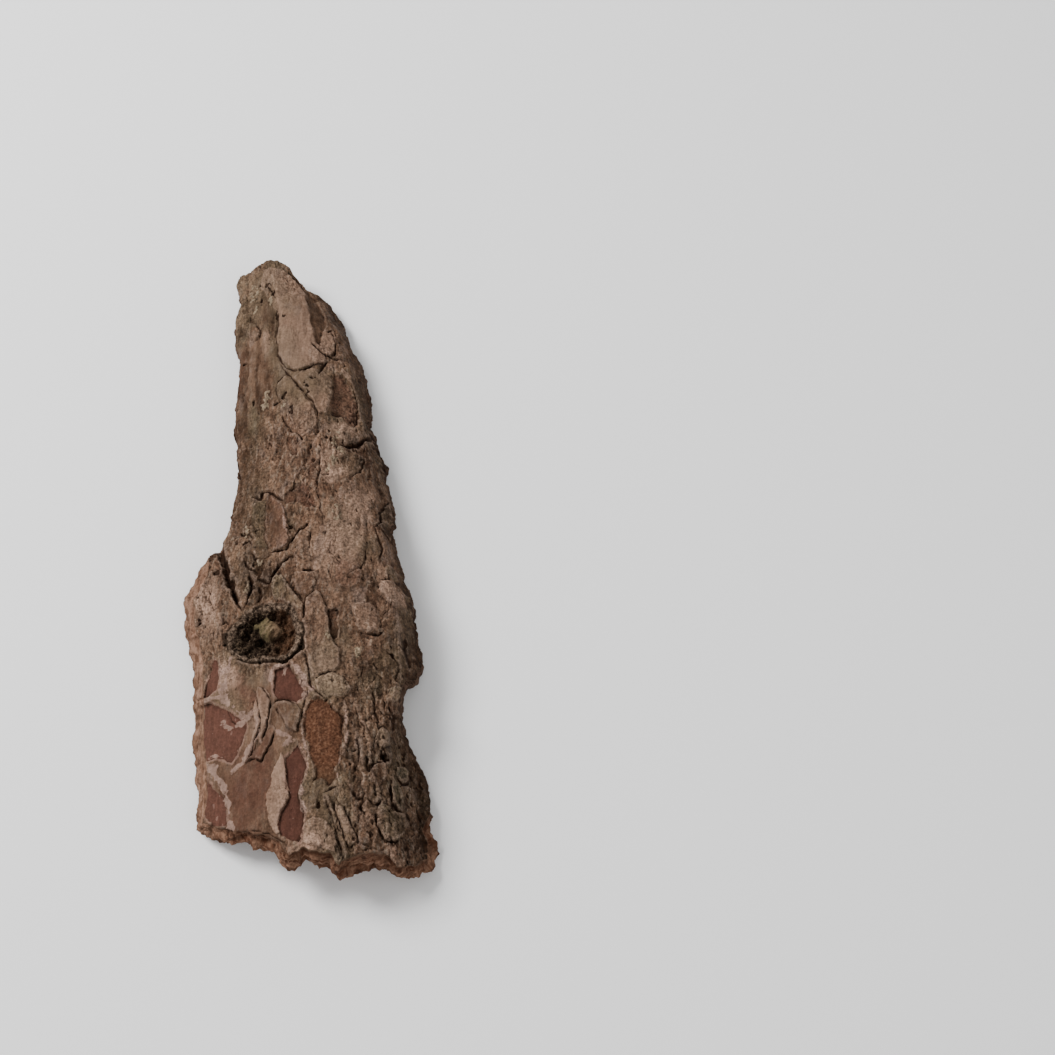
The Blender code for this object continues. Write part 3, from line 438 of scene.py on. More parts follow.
# Cracks between the scales, pale lines where a layer's broken edge shows, and small crumbs and
# holes. Each crack is a depth, a half width and a path; each line a half width and a path; each
# crumb or hole a radius and a place.
CRACKS = [
    (0.9, 0.75, [(-19, 107), (-18, 99), (-18.5, 90), (-17, 82), (-12.5, 75), (-7.5, 73.5)]),
    (0.6, 0.55, [(-10.5, 73.5), (-5.5, 74.5), (0, 77.5), (4, 79.5)]),
    (1.6, 0.9, [(-3.5, 88), (0, 84.5), (2.5, 83), (5.5, 82), (9, 82.5)]),
    (0.9, 0.55, [(4, 96.5), (5.5, 94), (6.5, 90.5), (6.5, 86.5), (5.5, 83)]),
    (1.4, 0.8, [(4.5, 80.5), (2.5, 77.5), (1.5, 74.5), (0.5, 71)]),
    (1.3, 1.2, [(-16.5, 79.5), (-13, 73), (-10, 70), (-7, 65.5), (-4, 61.5), (-1.5, 57.5), (1, 53),
        (2, 49)]),
    (0.7, 0.55, [(-13.5, 73), (-15.5, 71.5), (-17, 69.5), (-17.5, 66), (-17, 62)]),
    (1, 0.7, [(-16.5, 128.5), (-12.5, 123.5), (-10.5, 121.5), (-9, 118.5)]),
    (1.4, 0.6, [(-30, 92.5), (-27.5, 93.5)]),
    (1.6, 0.8, [(-34, 84.5), (-29.5, 82.5)]),
    (1.2, 0.6, [(-27.5, 61.5), (-28, 64), (-27, 64.5)]),
    (1.2, 0.7, [(-18.5, 59), (-15, 60.5)]),
    (1, 0.8, [(-14, 54), (-12, 49.5), (-9, 45), (-5, 41.5)]),
    (0.8, 0.8, [(-24.5, 119), (-22.5, 116), (-20.5, 112)]),
    (1.4, 3, [(-34.5, 125), (-34, 117.5), (-34, 112.5), (-32, 105.5), (-28.5, 101), (-26.5, 96),
        (-27.5, 92)]),
    (1.1, 2.6, [(-26, 89), (-26.5, 83), (-26.5, 76.5), (-27, 70), (-26.5, 63)]),
    (1.5, 3.2, [(-33.5, 94), (-31, 86), (-31, 81), (-32, 76), (-32.5, 70.5), (-33, 65)]),
    (1.1, 2.4, [(-20.5, 107), (-20.5, 101.5), (-21, 96), (-21.5, 91), (-22, 85)]),
    (1.2, 2.5, [(-19.5, 109), (-18.5, 102), (-18.5, 96), (-19, 90)]),
    (1, 2.4, [(2, 45), (-1, 36), (-2, 27), (-4.5, 20), (-11, 15)]),
    (1, 2.2, [(-29, 60), (-27, 51), (-28.5, 42), (-26, 32), (-27, 24)]),
    (1, 0.6, [(14.5, 70), (16.5, 62), (17, 54.5), (16, 47)]),
    (1.6, 0.7, [(-33.5, 38), (-32, 33.5), (-31.5, 29)]),
    (0.8, 0.9, [(-29.5, 102.5), (-27, 98.5), (-26.5, 94.5), (-27.5, 93)]),
    (3.4, 1.6, [(25.5, 52.5), (23, 49), (19.5, 44.5), (17, 40.5), (14, 38.5), (11.5, 37)]),
    (3, 1.8, [(23, 49), (25.5, 43), (27, 39), (29, 34)]),
    (1.2, 0.7, [(20, 35), (20, 30.5), (18.5, 26.5), (16.5, 23)]),
    (0.8, 0.6, [(2.5, 41.5), (3.5, 34.5), (3.5, 25), (3, 16), (5.5, 6.5), (7, -2)]),
    (0.6, 0.5, [(-1, 26), (-2.5, 23), (-4, 20.5)]),
    (0.8, 0.55, [(-2.5, 20), (0, 16), (2, 11.5), (4, 6)]),
    (1.3, 0.8, [(-25.5, 18), (-21, 16.5), (-20, 19), (-18, 19), (-14.5, 16), (-10.5, 12.5)]),
    (1.3, 0.8, [(-7, -6.5), (-5.5, -3.5), (-3, -0.5), (-1, 0.5), (1, 2.5)]),
    (1.2, 0.7, [(-15, -8.5), (-8, -9), (-7, -5.5)]),
    (1.4, 0.7, [(-23, 2.5), (-19.5, 2)]),
    (1.3, 0.7, [(-27.5, -2.5), (-24.5, -1)]),
    (1.3, 0.8, [(-29, 4), (-26.5, 1.5)]),
    (1.3, 0.7, [(-23, -9), (-20, -10), (-17, -11), (-14, -9)]),
    (1.8, 0.85, [(-3, -13), (-6.5, -12.5), (-8.5, -14), (-11.5, -15.5), (-13, -17.5),
        (-14.5, -20.5), (-15.5, -22), (-18.5, -20), (-21, -18)]),
    (2, 0.8, [(-1, -19), (1.5, -19), (3.5, -19)]),
    (0.9, 0.6, [(-5, -19.5), (-5.5, -21.5), (-6, -23.5), (-3.5, -27), (-1, -30.5), (0.5, -32)]),
    (0.9, 0.6, [(1.5, -29.5), (1, -33), (1, -36), (0, -41.5)]),
    (2.4, 1, [(-24.5, -14), (-23, -18.5), (-22.5, -24.5), (-23, -29), (-25, -31), (-26, -33)]),
    (5, 2, [(-42, 8), (-38, 0), (-35.5, -7), (-33, -15), (-30.5, -21.5), (-26, -32)]),
    (1.4, 0.8, [(-26.5, -10.5), (-24, -13.5), (-20.5, -16.5)]),
    (1.2, 0.8, [(-19.5, -22.5), (-17.5, -27), (-19, -30.5)]),
    (0.8, 0.6, [(1.5, -1), (1, -8.5), (2.5, -15)]),
    (0.7, 0.5, [(8, -9), (12, -14.5), (14.5, -17)]),
    (1, 0.7, [(23.5, -8.5), (24, -13.5), (23.5, -17)]),
    (0.8, 0.6, [(17.5, -21.5), (22, -19), (23, -16), (24, -10)]),
    (1.8, 0.9, [(30, 20), (28.5, 15), (27.5, 11.5), (28.5, 6.5), (28, 4), (26, 1.5)]),
    (1.2, 0.9, [(26.5, 1.5), (28, -2), (29.5, -6.5), (29, -12)]),
    (1, 0.7, [(23.5, -45), (26, -46), (29.5, -46.5), (32, -44)]),
    (1.1, 0.7, [(0.5, -49.5), (2, -53.5), (3.5, -59.5), (4.5, -65), (5.5, -67.5), (7.5, -69.5),
        (11, -72.5)]),
    (1, 0.7, [(4.5, -66.5), (3, -71), (2, -73.5), (1.5, -78), (1, -81.5)]),
    (0.8, 0.55, [(6, -64), (9.5, -62.5), (13, -61.5)]),
    (1.6, 0.8, [(-16.5, -64), (-14, -66.5), (-11.5, -70), (-11, -74), (-11.5, -78.5), (-12.5, -83),
        (-14, -87)]),
    (1.1, 0.6, [(-15.5, -77.5), (-15.5, -82.5), (-16.5, -87.5), (-18, -92), (-20.5, -94.5)]),
    (1.2, 0.65, [(-9, -82.5), (-10, -88), (-12.5, -91.5), (-13.5, -94), (-16.5, -93.5),
        (-19.5, -94.5)]),
    (1, 0.55, [(-10.5, -72), (-8, -71), (-4.5, -71.5), (-0.5, -73.5), (2, -76.5)]),
    (1, 0.7, [(-8.5, -74), (-7, -77)]),
    (0.9, 0.6, [(11.5, -108.5), (14.5, -107), (17, -106)]),
    (0.9, 0.6, [(11.5, -109), (13.5, -113.5), (15.5, -120), (18, -127), (19.5, -132)]),
    (0.9, 0.6, [(15, -111), (16.5, -116), (19, -122), (21, -127.5), (22.5, -131.5)]),
    (0.9, 0.6, [(19, -114), (22, -119.5), (24.5, -124.5), (24.5, -127.5)]),
    (1.5, 0.8, [(27, -93.5), (27.5, -97), (27.5, -100.5)]),
    (1.2, 0.7, [(22.5, -87.5), (24.5, -90.5), (24.5, -94.5), (24, -97.5)]),
    (1, 0.6, [(22, -92.5), (23.5, -91.5)]),
    (2.4, 1.6, [(32, -92), (33, -93.5), (35, -94.5)]),
    (1.4, 0.7, [(28, -101), (28.5, -97.5), (31, -96), (33, -96)]),
    (1.8, 0.9, [(38, -100.5), (40, -102), (42.5, -100.5)]),
    (1.8, 0.9, [(36, -103.5), (37, -110.5), (38.5, -113), (40.5, -114)]),
    (1.5, 0.8, [(31, -114.5), (31.5, -120), (34.5, -125), (38.5, -125.5), (41, -122.5)]),
    (1.2, 0.7, [(28, -110.5), (30, -112.5), (32, -112.5), (33.5, -109.5)]),
    (1.3, 0.7, [(25.5, -131.5), (28, -132), (31.5, -131.5)]),
    (0.9, 0.6, [(-34.5, -116), (-28.5, -120), (-23.5, -121), (-17, -121)]),
    (0.9, 0.6, [(-17, -121), (-12.5, -121.5), (-7, -123.5), (-2, -125.5)]),
    (1.2, 0.9, [(28, -68), (29.5, -72.5), (29.5, -77.5), (31, -82)]),
    (1.5, 1.1, [(34.5, -73), (36, -77), (35.5, -82)]),
    (1, 0.7, [(21.5, -74.5), (23, -79.5), (25.5, -83), (25, -88)]),
    (1, 0.7, [(25, -104), (27, -108.5), (25.5, -113.5), (27.5, -118)]),
    (1, 0.7, [(19, -104), (22, -107.5), (24, -110.5), (27, -111)]),
    (1.3, 0.9, [(32, -51), (35, -52.5), (37.5, -56.5), (36.5, -63)]),
    (0.9, 0.7, [(22, -52.5), (24.5, -57), (23.5, -62.5), (25, -67.5)]),
    (1.5, 1, [(39.5, -42), (39.5, -48.5), (41.5, -54.5)]),
    (0.6, 0.5, [(-29.5, -72), (-27.5, -76.5), (-24.5, -78.5)])]
PALE_LINES = [
    (1.5, [(-38.5, -66.5), (-35, -65.5), (-32, -66.5), (-28.5, -70), (-26, -72.5),
        (-23.5, -74.5)]),
    (1.2, [(-35, -65.5), (-32.5, -63.5), (-31, -60.5), (-30.5, -55.5), (-29.5, -51.5)]),
    (0.8, [(-34, -51), (-33.5, -56), (-32.5, -61)]),
    (0.9, [(-19.5, -74.5), (-21.5, -77), (-23, -78.5), (-25.5, -78.5), (-27.5, -79)]),
    (1, [(-15, -79.5), (-16.5, -85), (-19.5, -89.5), (-20.5, -94), (-24, -95.5), (-26, -97.5)]),
    (1.5, [(-37.5, -92), (-34.5, -94.5), (-32, -98), (-29, -103), (-27, -108.5), (-26, -113.5),
        (-24.5, -119)]),
    (1, [(-11.5, -64), (-12, -60), (-11.5, -57)]),
    (1, [(-11.5, -57), (-8, -56.5), (-4.5, -56.5)]),
    (0.6, [(-6.5, -58.5), (-6.5, -62.5)]),
    (1.5, [(-4, -56.5), (-0.5, -60.5), (2.5, -65), (4, -67.5), (2, -71.5)]),
    (0.5, [(2, -83.5), (3, -89.5), (5, -95), (5.5, -99), (3, -103.5)]),
    (0.8, [(2.5, -103.5), (2, -107.5), (2.5, -111.5), (4, -114.5)]),
    (0.8, [(-8, -83.5), (-5.5, -84.5), (-3.5, -85.5), (-3, -87.5), (-0.5, -87.5)]),
    (0.7, [(-5, -89), (-3, -88)]),
    (0.7, [(-16.5, -74), (-16, -79), (-16, -82.5)]),
    (0.8, [(-12.5, -77.5), (-13.5, -82.5), (-14.5, -86.5)]),
    (0.35, [(18.5, -76.5), (19, -82.5), (19.5, -88), (17.5, -94), (17, -98.5), (16.5, -103)]),
    (0.5, [(-11, 10.5), (-10.5, 6), (-9, 0.5), (-6.5, -3.5)]),
    (0.9, [(-35.5, -89.5), (-34, -89), (-31.5, -89.5)]),
    (0.8, [(-31, -76.5), (-30, -78)])]
CRUMB_HEIGHT = 0.4
HOLE_DEPTH = 0.9
CRUMBS = [(1, -32, 121), (1, -30, 118), (1.2, -21, 64.5), (1.2, -22, 60.5), (1.2, -14, 58),
          (1.2, 7, 26.5), (1.2, 9.5, 30), (1.2, 11.5, 7.5), (1.2, 12.5, 3.5), (1.2, 10.5, 43),
          (1.2, 12, 35), (1.2, 9, 37.5), (1.2, -26.5, 3.5), (1.2, -24, -22), (1.2, -20, -12),
          (1.2, 11, -48.5), (1.2, 22.5, -53), (1, -31.5, 116), (1, -29.5, 110), (1, -22.5, 112)]
HOLES = [(1.2, -27, 113), (0.7, -28, 121.5), (0.8, -24.5, 119.5), (0.9, -5, 68), (0.9, -2, 70.5),
         (0.9, -3.5, 63.5), (0.9, -9.5, 54), (0.9, -13.5, 62), (0.9, -21.5, 114), (0.8, -19, 103),
         (0.8, -16.5, 102), (0.9, 3.5, 96.5), (0.9, 33.5, -93.5), (0.9, -44, -32.5),
         (0.9, -42.5, -6.5), (0.9, -38.5, -12), (0.9, -46, -20.5), (0.9, 0, 34.5),
         (0.9, -7.5, 1.5), (0.9, 9.5, -112.5)]


def path_distance(points, x, y):
    """Distance to an open path and the share of its length there, from its straight runs."""
    lengths = [math.hypot(bx - ax, by - ay) for (ax, ay), (bx, by) in zip(points, points[1:])]
    whole = sum(lengths)
    travelled = 0.0
    nearest = np.full(np.shape(x), 1000.0)
    share = np.zeros(np.shape(x))
    for (ax, ay), (bx, by), length in zip(points, points[1:], lengths):
        run_x = bx - ax
        run_y = by - ay
        part = np.clip(((x - ax) * run_x + (y - ay) * run_y) / length ** 2, 0, 1)
        away = np.hypot(x - ax - part * run_x, y - ay - part * run_y)
        share = np.where(away < nearest, (travelled + part * length) / whole, share)
        nearest = np.minimum(away, nearest)
        travelled = travelled + length
    return nearest, share


def crack_relief(x, y):
    """Grooves that taper to both ends and vary in width, and how far inside the nearest sharp one
    each place is; a groove wider than four times its depth is a soft one."""
    bent_x = x + frayed(x, y, 31, 0.7)
    bent_y = y + frayed(x, y, 41, 0.7)
    uneven = 1.0 + 0.9 * rough_noise(x, y, 3.5, 47, 2)
    relief = np.zeros(x.shape)
    within = np.full(x.shape, -FAR)
    for depth, reach, path in CRACKS:
        near = close_to(path, x, y)
        distance, share = path_distance(path, bent_x[near], bent_y[near])
        taper = (1.02 - (2 * share - 1) ** 4) * uneven[near]
        width = np.maximum(0.85 * reach * taper, 0.05)
        groove = np.clip(1 - distance / width, 0, 1)
        groove = groove ** (0.8 if reach < 2 * depth else 1.6) * np.clip(taper, 0, 1)
        relief[near] = np.minimum(relief[near], -1.1 * depth * groove)
        if reach < 2 * depth:
            within[near] = np.maximum(within[near], 0.4 * width - distance)
    return relief, within


def ragged_rounds(spots, x, y):
    """Sum of eased rounds, drawn out lengthwise and ragged, and how far inside the nearest one
    each place is."""
    share = np.zeros(x.shape)
    within = np.full(x.shape, -FAR)
    for radius, middle_x, middle_y in spots:
        near = close_to([(middle_x, middle_y)], x, y)
        away = np.hypot(x[near] - middle_x, 0.62 * (y[near] - middle_y))
        away = away + 1.9 * rough_noise(x[near], y[near], 1.3, 191, 3)
        share[near] = share[near] + ease((radius - away) / (0.6 * radius))
        within[near] = np.maximum(within[near], radius - away)
    return share, within


# The knot: a branch once grew here. Its collar is raised and ringed, and inside it the dead wood
# has rotted to a pit round a short grooved stump. The collar lies at a knot radius of 1. A dent
# is an amount of radius, an angle and a reach; a rotted hole is a depth, a radius, the width of
# its slope and a place.
KNOT = (-15.0, -44.0)
KNOT_REACH = (15.8, 12.2)
KNOT_SLANT = 0.16
KNOT_DENTS = [(-0.15, 1.0, 0.4), (0.11, 2.2, 0.45), (0.09, -1.65, 0.4)]
COLLAR_HEIGHT = 0.9
COLLAR_GAP = 2.4
RING_PITCH = 56
PIT_DEPTH = 4.2
ROTTED_HOLES = [(3.2, 3.84, 2.4, -16.5, -45.5), (2.2, 2.4, 1.6, -8.0, -37.0)]
STUMP = (-13.8, -41.0)
STUMP_REACH = (6.6, 4.5)
STUMP_SLANT = 0.3
STUMP_RISE = 3.4
STUMP_GROOVES = 1.4


def ridge(value, middle, reach):
    """Bell curve of a number, 1 at its middle."""
    return np.exp(-((value - middle) / reach) ** 2)


def oval_places(x, y, middle, reach, slant):
    """Places from the middle of a slanted oval, as shares of its half lengths."""
    across = (x - middle[0]) / reach[0]
    along = (y - middle[1] + slant * (x - middle[0])) / reach[1]
    return across, along


def off_knot(x, y):
    """1 on the bark round the knot and 0 inside its uneven collar."""
    away = np.hypot(*oval_places(x, y, KNOT, KNOT_REACH, KNOT_SLANT))
    return ease((away - 0.88 + 0.1 * rough_noise(x, y, 4.0, 62, 2)) / 0.25)


def knot_radii(x, y, across, along):
    """Angle round the knot; its radius, with dents as bell curves of the angle, and noise; and a
    rougher radius."""
    angle = np.arctan2(along, across)
    radius = np.hypot(across, along) + 0.10 * rough_noise(x, y, 9.0, 51, 2)
    for amount, middle, reach in KNOT_DENTS:
        radius = radius + amount * ridge(angle, middle, reach)
    radius = radius + 0.05 * rough_noise(x, y, 2.6, 52, 3)
    return angle, radius, radius + 0.10 * rough_noise(x, y, 2.8, 54, 3)


def collar_relief(x, y, along, toward_right, toward_left, angle, radius):
    """Crumbled bell curve of the radius, with growth rings as a sine of it, splits where a noise
    round the knot changes sign, and the gap where it shrank from the bark; also rings and gap."""
    broken = 0.7 + 1.1 * rough_noise(x, y, 5.0, 53, 3) + 0.3 * toward_right
    whole = rough_noise(x, y, 5.5, 55, 2) - 0.25 * along + 0.02
    rings = np.sin(RING_PITCH * radius) * ease(whole / 0.35)
    splits = np.abs(smooth_noise(angle * 3.2 + 9, radius * 1.5, 58))
    splits = ease((0.16 - splits) / 0.16)
    gap = (np.clip(toward_right, 0, 1) + 0.5 * toward_left) * ridge(radius, 1.03, 0.045)
    relief = COLLAR_HEIGHT * broken * ridge(radius, 1.02, 0.13)
    relief = relief + 0.5 * rings * ridge(radius, 0.92, 0.13)
    relief = relief - 1.6 * splits * ridge(radius, 0.95, 0.17) - COLLAR_GAP * gap
    return relief, rings, gap


def pit_relief(x, y, toward_right, radius, rough_radius):
    """Eased fall inside the collar, deepest at the left, a groove under the rim, rotted holes."""
    depth = PIT_DEPTH * (0.875 - 0.375 * toward_right)
    relief = -depth * ease((0.82 - rough_radius) / 0.25)
    relief = relief - 0.9 * ease((0.98 - radius) / 0.25) - 1.2 * ridge(rough_radius, 0.8, 0.04)
    for depth, reach, slope, middle_x, middle_y in ROTTED_HOLES:
        away = np.hypot(x - middle_x, 1.3 * (y - middle_y))
        relief = relief - depth * ease((reach - away) / slope)
    return relief


def stump_relief(x, y):
    """Eased share of a slanted oval with a rough edge, grooved by drawn-out noise."""
    away = np.hypot(*oval_places(x, y, STUMP, STUMP_REACH, STUMP_SLANT))
    share = ease((1.05 - away - 0.3 * rough_noise(x, y, 3.4, 56, 3)) / 0.3)
    grooves = rough_noise((x - y) * 0.7, (x + y) * 0.18, 1.5, 57, 3)
    return (STUMP_RISE + STUMP_GROOVES * grooves) * share, share, grooves


def knot_relief(x, y):
    """Collar, pit and stump with crumbling wood as noise, and the amounts that their colours
    need."""
    across, along = oval_places(x, y, KNOT, KNOT_REACH, KNOT_SLANT)
    angle, radius, rough_radius = knot_radii(x, y, across, along)
    reach = np.hypot(across, along) + 0.3
    toward_right = (across - along) / reach
    toward_left = np.clip(-(across + 0.3 * along) / reach, 0, 1)
    collar, rings, gap = collar_relief(x, y, along, toward_right, toward_left, angle, radius)
    pit = pit_relief(x, y, toward_right, radius, rough_radius)
    stump, stump_share, grooves = stump_relief(x, y)
    inside = ease((0.9 - radius) / 0.12)
    crumble = 2.6 * inside * (1 - 0.6 * stump_share) * rough_noise(x, y, 2.0, 59, 3)
    collar_share = (1 - inside) * ease((1.25 - radius) / 0.12)
    crumble = crumble + 0.6 * collar_share * rough_noise(x, y, 2.2, 60, 3)
    knot_marks = {"knot_radius": np.clip(radius, 0, 3), "stump": stump_share,
                  "stump_ridge": grooves, "ring_line": rings, "knot_gap": gap}
    return collar + pit + stump + crumble, knot_marks


# The whole weathered side: all of the above on its curve, over crumbly cork in thin layers.
# Algae, damp and age tint it, and the darker tints on the steep right flank are partly painted
# shade: a tint is how pale, how red, a middle and two reaches, and pale streaks run down the left
# side, with a middle and two reaches too.
TINTS = [(-0.3, 0, 34, -76, 4, 12), (-0.1, 0, -34, 95, 5, 30), (0.15, 0.35, -26, -59, 5, 7),
    (-0.42, -0.25, -27, 42, 8, 32), (-0.4, -0.4, -22, -15, 12, 16), (0.05, -0.1, -8, 92, 10, 16),
    (0.25, 0.1, -38, -30, 10, 24), (-0.5, 0.5, -18, -107, 14, 18), (-0.1, -0.35, 34, -104, 13, 30),
    (1.3, -0.2, 9, 28, 6, 5.5), (0.7, 0, 25, 15, 6, 10), (0.25, -0.4, 8, -62, 8, 8),
    (0.45, 0.1, 14, -2, 10, 16), (-0.25, -0.3, -22, 14, 8, 12), (-0.2, 0.2, 2, 20, 7, 14),
    (-0.25, 0.2, 24, -57, 8, 9), (-0.15, 0, -19, 106, 10, 12), (-0.15, 0.1, -10, 58, 5, 12),
    (-0.2, 0.35, -19, -68, 8, 8), (-0.25, 0.1, -31, -97, 8, 8), (0.1, -0.1, 30.5, -86, 5, 8),
    (-0.45, 0, 24, -99, 6, 7), (0.2, 0, 15, -28, 5, 8), (-0.35, 0.1, -9, -27, 6, 7),
    (1.1, 0, -42, -22, 6, 10), (0.95, 0.1, -30.5, -60, 6, 7), (0.7, 0, -15, -79, 5, 9),
    (-0.45, 0.2, 46.5, -123, 5, 10), (0.8, 0.3, 38, -131, 4, 4), (-0.3, 0, -31, 46, 5, 11),
    (-0.3, 0, -31, 20, 4, 12), (-0.45, 0, -18, -17, 5, 6), (0.25, 0, -1, 50, 5, 6),
    (0.85, 0, 11, 45, 6, 5), (0.75, 0, 35, -26, 5, 6), (0.15, 0, -7, 51, 5, 7),
    (-0.3, 0, -6, 69, 5, 5), (0.35, 0.1, -26, 104, 3.5, 7), (-0.35, 0, -33, 102, 3, 6),
    (0.3, 0, 5, -14, 7, 8), (-0.25, 0.2, -31, 86, 4, 9), (-0.2, 0.2, -33, 77, 3.5, 9),
    (-0.4, 0.1, -33, 100, 4, 6), (-0.2, 0.2, -32, 60, 3.5, 10), (0.3, 0, 33, -18, 5, 8),
    (-0.25, -0.1, -23, 49, 6, 9), (0.6, 0.2, 28, -119, 6, 7), (0.9, 0.5, 3, -131, 8, 4),
    (-0.3, 0, 26, -133, 5, 3)]
LEFT_STREAKS = (-27, 82, 9, 32)


def scale_relief(x, y):
    """Heights of scales and bare patches, eased across their frayed edges; the tone and warmth of
    the scale on top; and how far inside a bare patch each place is."""
    frayed_x = x + frayed(x, y, 11, 0.7)
    frayed_y = y + frayed(x, y, 21, 0.7)
    relief = np.zeros(x.shape)
    tone = np.zeros(x.shape)
    warmth = np.zeros(x.shape)
    for height, edge, shade, red, outline in PLATES:
        share = ease(within_outline(outline, frayed_x, frayed_y) / (0.6 * edge) + 0.5)
        relief = relief + height * share
        tone = tone * (1 - 0.6 * share) + shade * share
        warmth = warmth * (1 - 0.6 * share) + red * share
    bare = np.full(x.shape, -FAR)
    for height, edge, outline in BARE_PATCHES:
        within = within_outline(outline, frayed_x, frayed_y)
        relief = relief + height * ease(within / (0.6 * edge) + 0.5)
        bare = np.maximum(bare, within)
    return relief, tone, warmth, bare


def tinted(x, y, tone, warmth):
    """Tone and warmth plus the tints, bell curves at distorted places; plus streaks of drawn-out
    noise at the left; less a darker steep flank, partly darker bark and partly painted shade."""
    tint_x = x + 5.0 * rough_noise(x, y, 8.0, 23, 4)
    tint_y = y + 9.0 * rough_noise(x, y * 0.6, 8.0, 27, 4)
    for shade, red, *area in TINTS:
        share = bell(tint_x, tint_y, *area)
        tone = tone + shade * share
        warmth = warmth + red * share
    streaks = rough_noise(x + 0.1 * y, y * 0.22, 3.6, 145, 3) * bell(x, y, *LEFT_STREAKS)
    limits = section_limits(y)
    # The steep right flank is darkened: partly darker bark, partly painted shade.
    flank = ease((tint_x - limits[4] + 2.5) / (limits[6] - limits[4] + 1.0))
    return tone + 1.3 * streaks - 0.62 * flank, warmth - 0.6 * streaks


def pale_edges(x, y):
    """How far inside a layer's broken edge each place is: an uneven half width less distance."""
    line_x = x + frayed(x, y, 33, 0.6)
    line_y = y + frayed(x, y, 43, 0.6)
    uneven = 0.85 + 1.9 * rough_noise(x, y, 3.2, 49, 3)
    within = np.full(x.shape, -FAR)
    for reach, path in PALE_LINES:
        near = close_to(path, x, y)
        distance = path_distance(path, line_x[near], line_y[near])[0]
        within[near] = np.maximum(within[near], reach * uneven[near] - distance)
    return within


def crumb_relief(x, y, share):
    """Small cork cells as lumps, a few of them holes, and grain of noise, by how crumbly a place
    is; also each cell's number and how open the holes are."""
    crumb_x = (x + GRAIN_SLANT * y + 0.9 * rough_noise(x, y, 2.5, 176, 2)) / 1.5
    crumb_y = (y + 0.9 * rough_noise(x, y, 2.5, 177, 2)) / 3.4
    number, border, away = cork_cells(crumb_x, crumb_y, 178)
    lumps = 0.7 * (number - 0.5) - 0.3 * (1 - ease(border / 0.16))
    holes = (number > 0.93) * ease((0.42 - away) / 0.2) * share
    relief = share * (0.5 * lumps + 0.55 * rough_noise(x, y * 0.6, 2.6, 121, 4)) - 0.8 * holes
    return relief + (1 - share) * 0.10 * rough_noise(x, y, 1.8, 123, 3), number, holes


def cork_relief(x, y, share, flat):
    """Broad flakes and long ones as terraces, waves, cork cells with gaps between, and crumbs, all
    by how crumbly and how flat a place is; also how open its gaps are and the tones of its layer
    and of its crumb."""
    form = 3.0 * rough_noise(x, y * 0.62, 15.0, 61, 3) + 0.4 * rough_noise(x, y, 2.6, 66, 3)
    coarse, coarse_level = terraces(form, 0.8, 0.15)
    fine, fine_level, split = long_flakes(x, y)
    relief = share * (0.7 * coarse + 0.8 * fine) + (1 - share) * (0.2 * coarse + 0.12 * fine)
    relief = relief + 1.1 * rough_noise(x + 0.1 * y, y * 0.2, 6.5, 143, 2)
    cell_x = (x + GRAIN_SLANT * y + 2.6 * rough_noise(x, y, 8.0, 151, 3)) / 4.6
    cell_y = (y + 2.6 * rough_noise(x, y, 8.0, 161, 3)) / 11.0
    cell, border, _ = cork_cells(cell_x, cell_y, 171)
    gap = (1 - ease(border / 0.13)) * ease((share - 0.3) / 0.4)
    gap = gap * ease((rough_noise(x, y, 7.0, 175, 2) - 0.02) / 0.3)
    relief = relief + share * 0.8 * (cell - 0.5) * (1 - gap) - 0.5 * gap
    relief = relief - 0.55 * (0.2 + 0.8 * share) * split
    crumbs, crumb, holes = crumb_relief(x, y, share)
    strength = 0.3 + 0.7 * share
    opened = np.maximum(0.7 * gap - 0.6, flat * strength * 0.75 * split - 0.6)
    opened = np.maximum(opened, np.where(holes > 0.2, 0.4 * holes - 0.1, -FAR))
    layer = lattice_value(coarse_level.astype(np.int64), 0, 141)
    layer = layer + 0.6 * lattice_value(fine_level.astype(np.int64), 1, 142)
    layer_tone = (layer / 0.8 - 1) * strength + 1.2 * (cell - 0.5) * share
    return flat * (relief + crumbs), opened, layer_tone, (crumb - 0.5) * strength


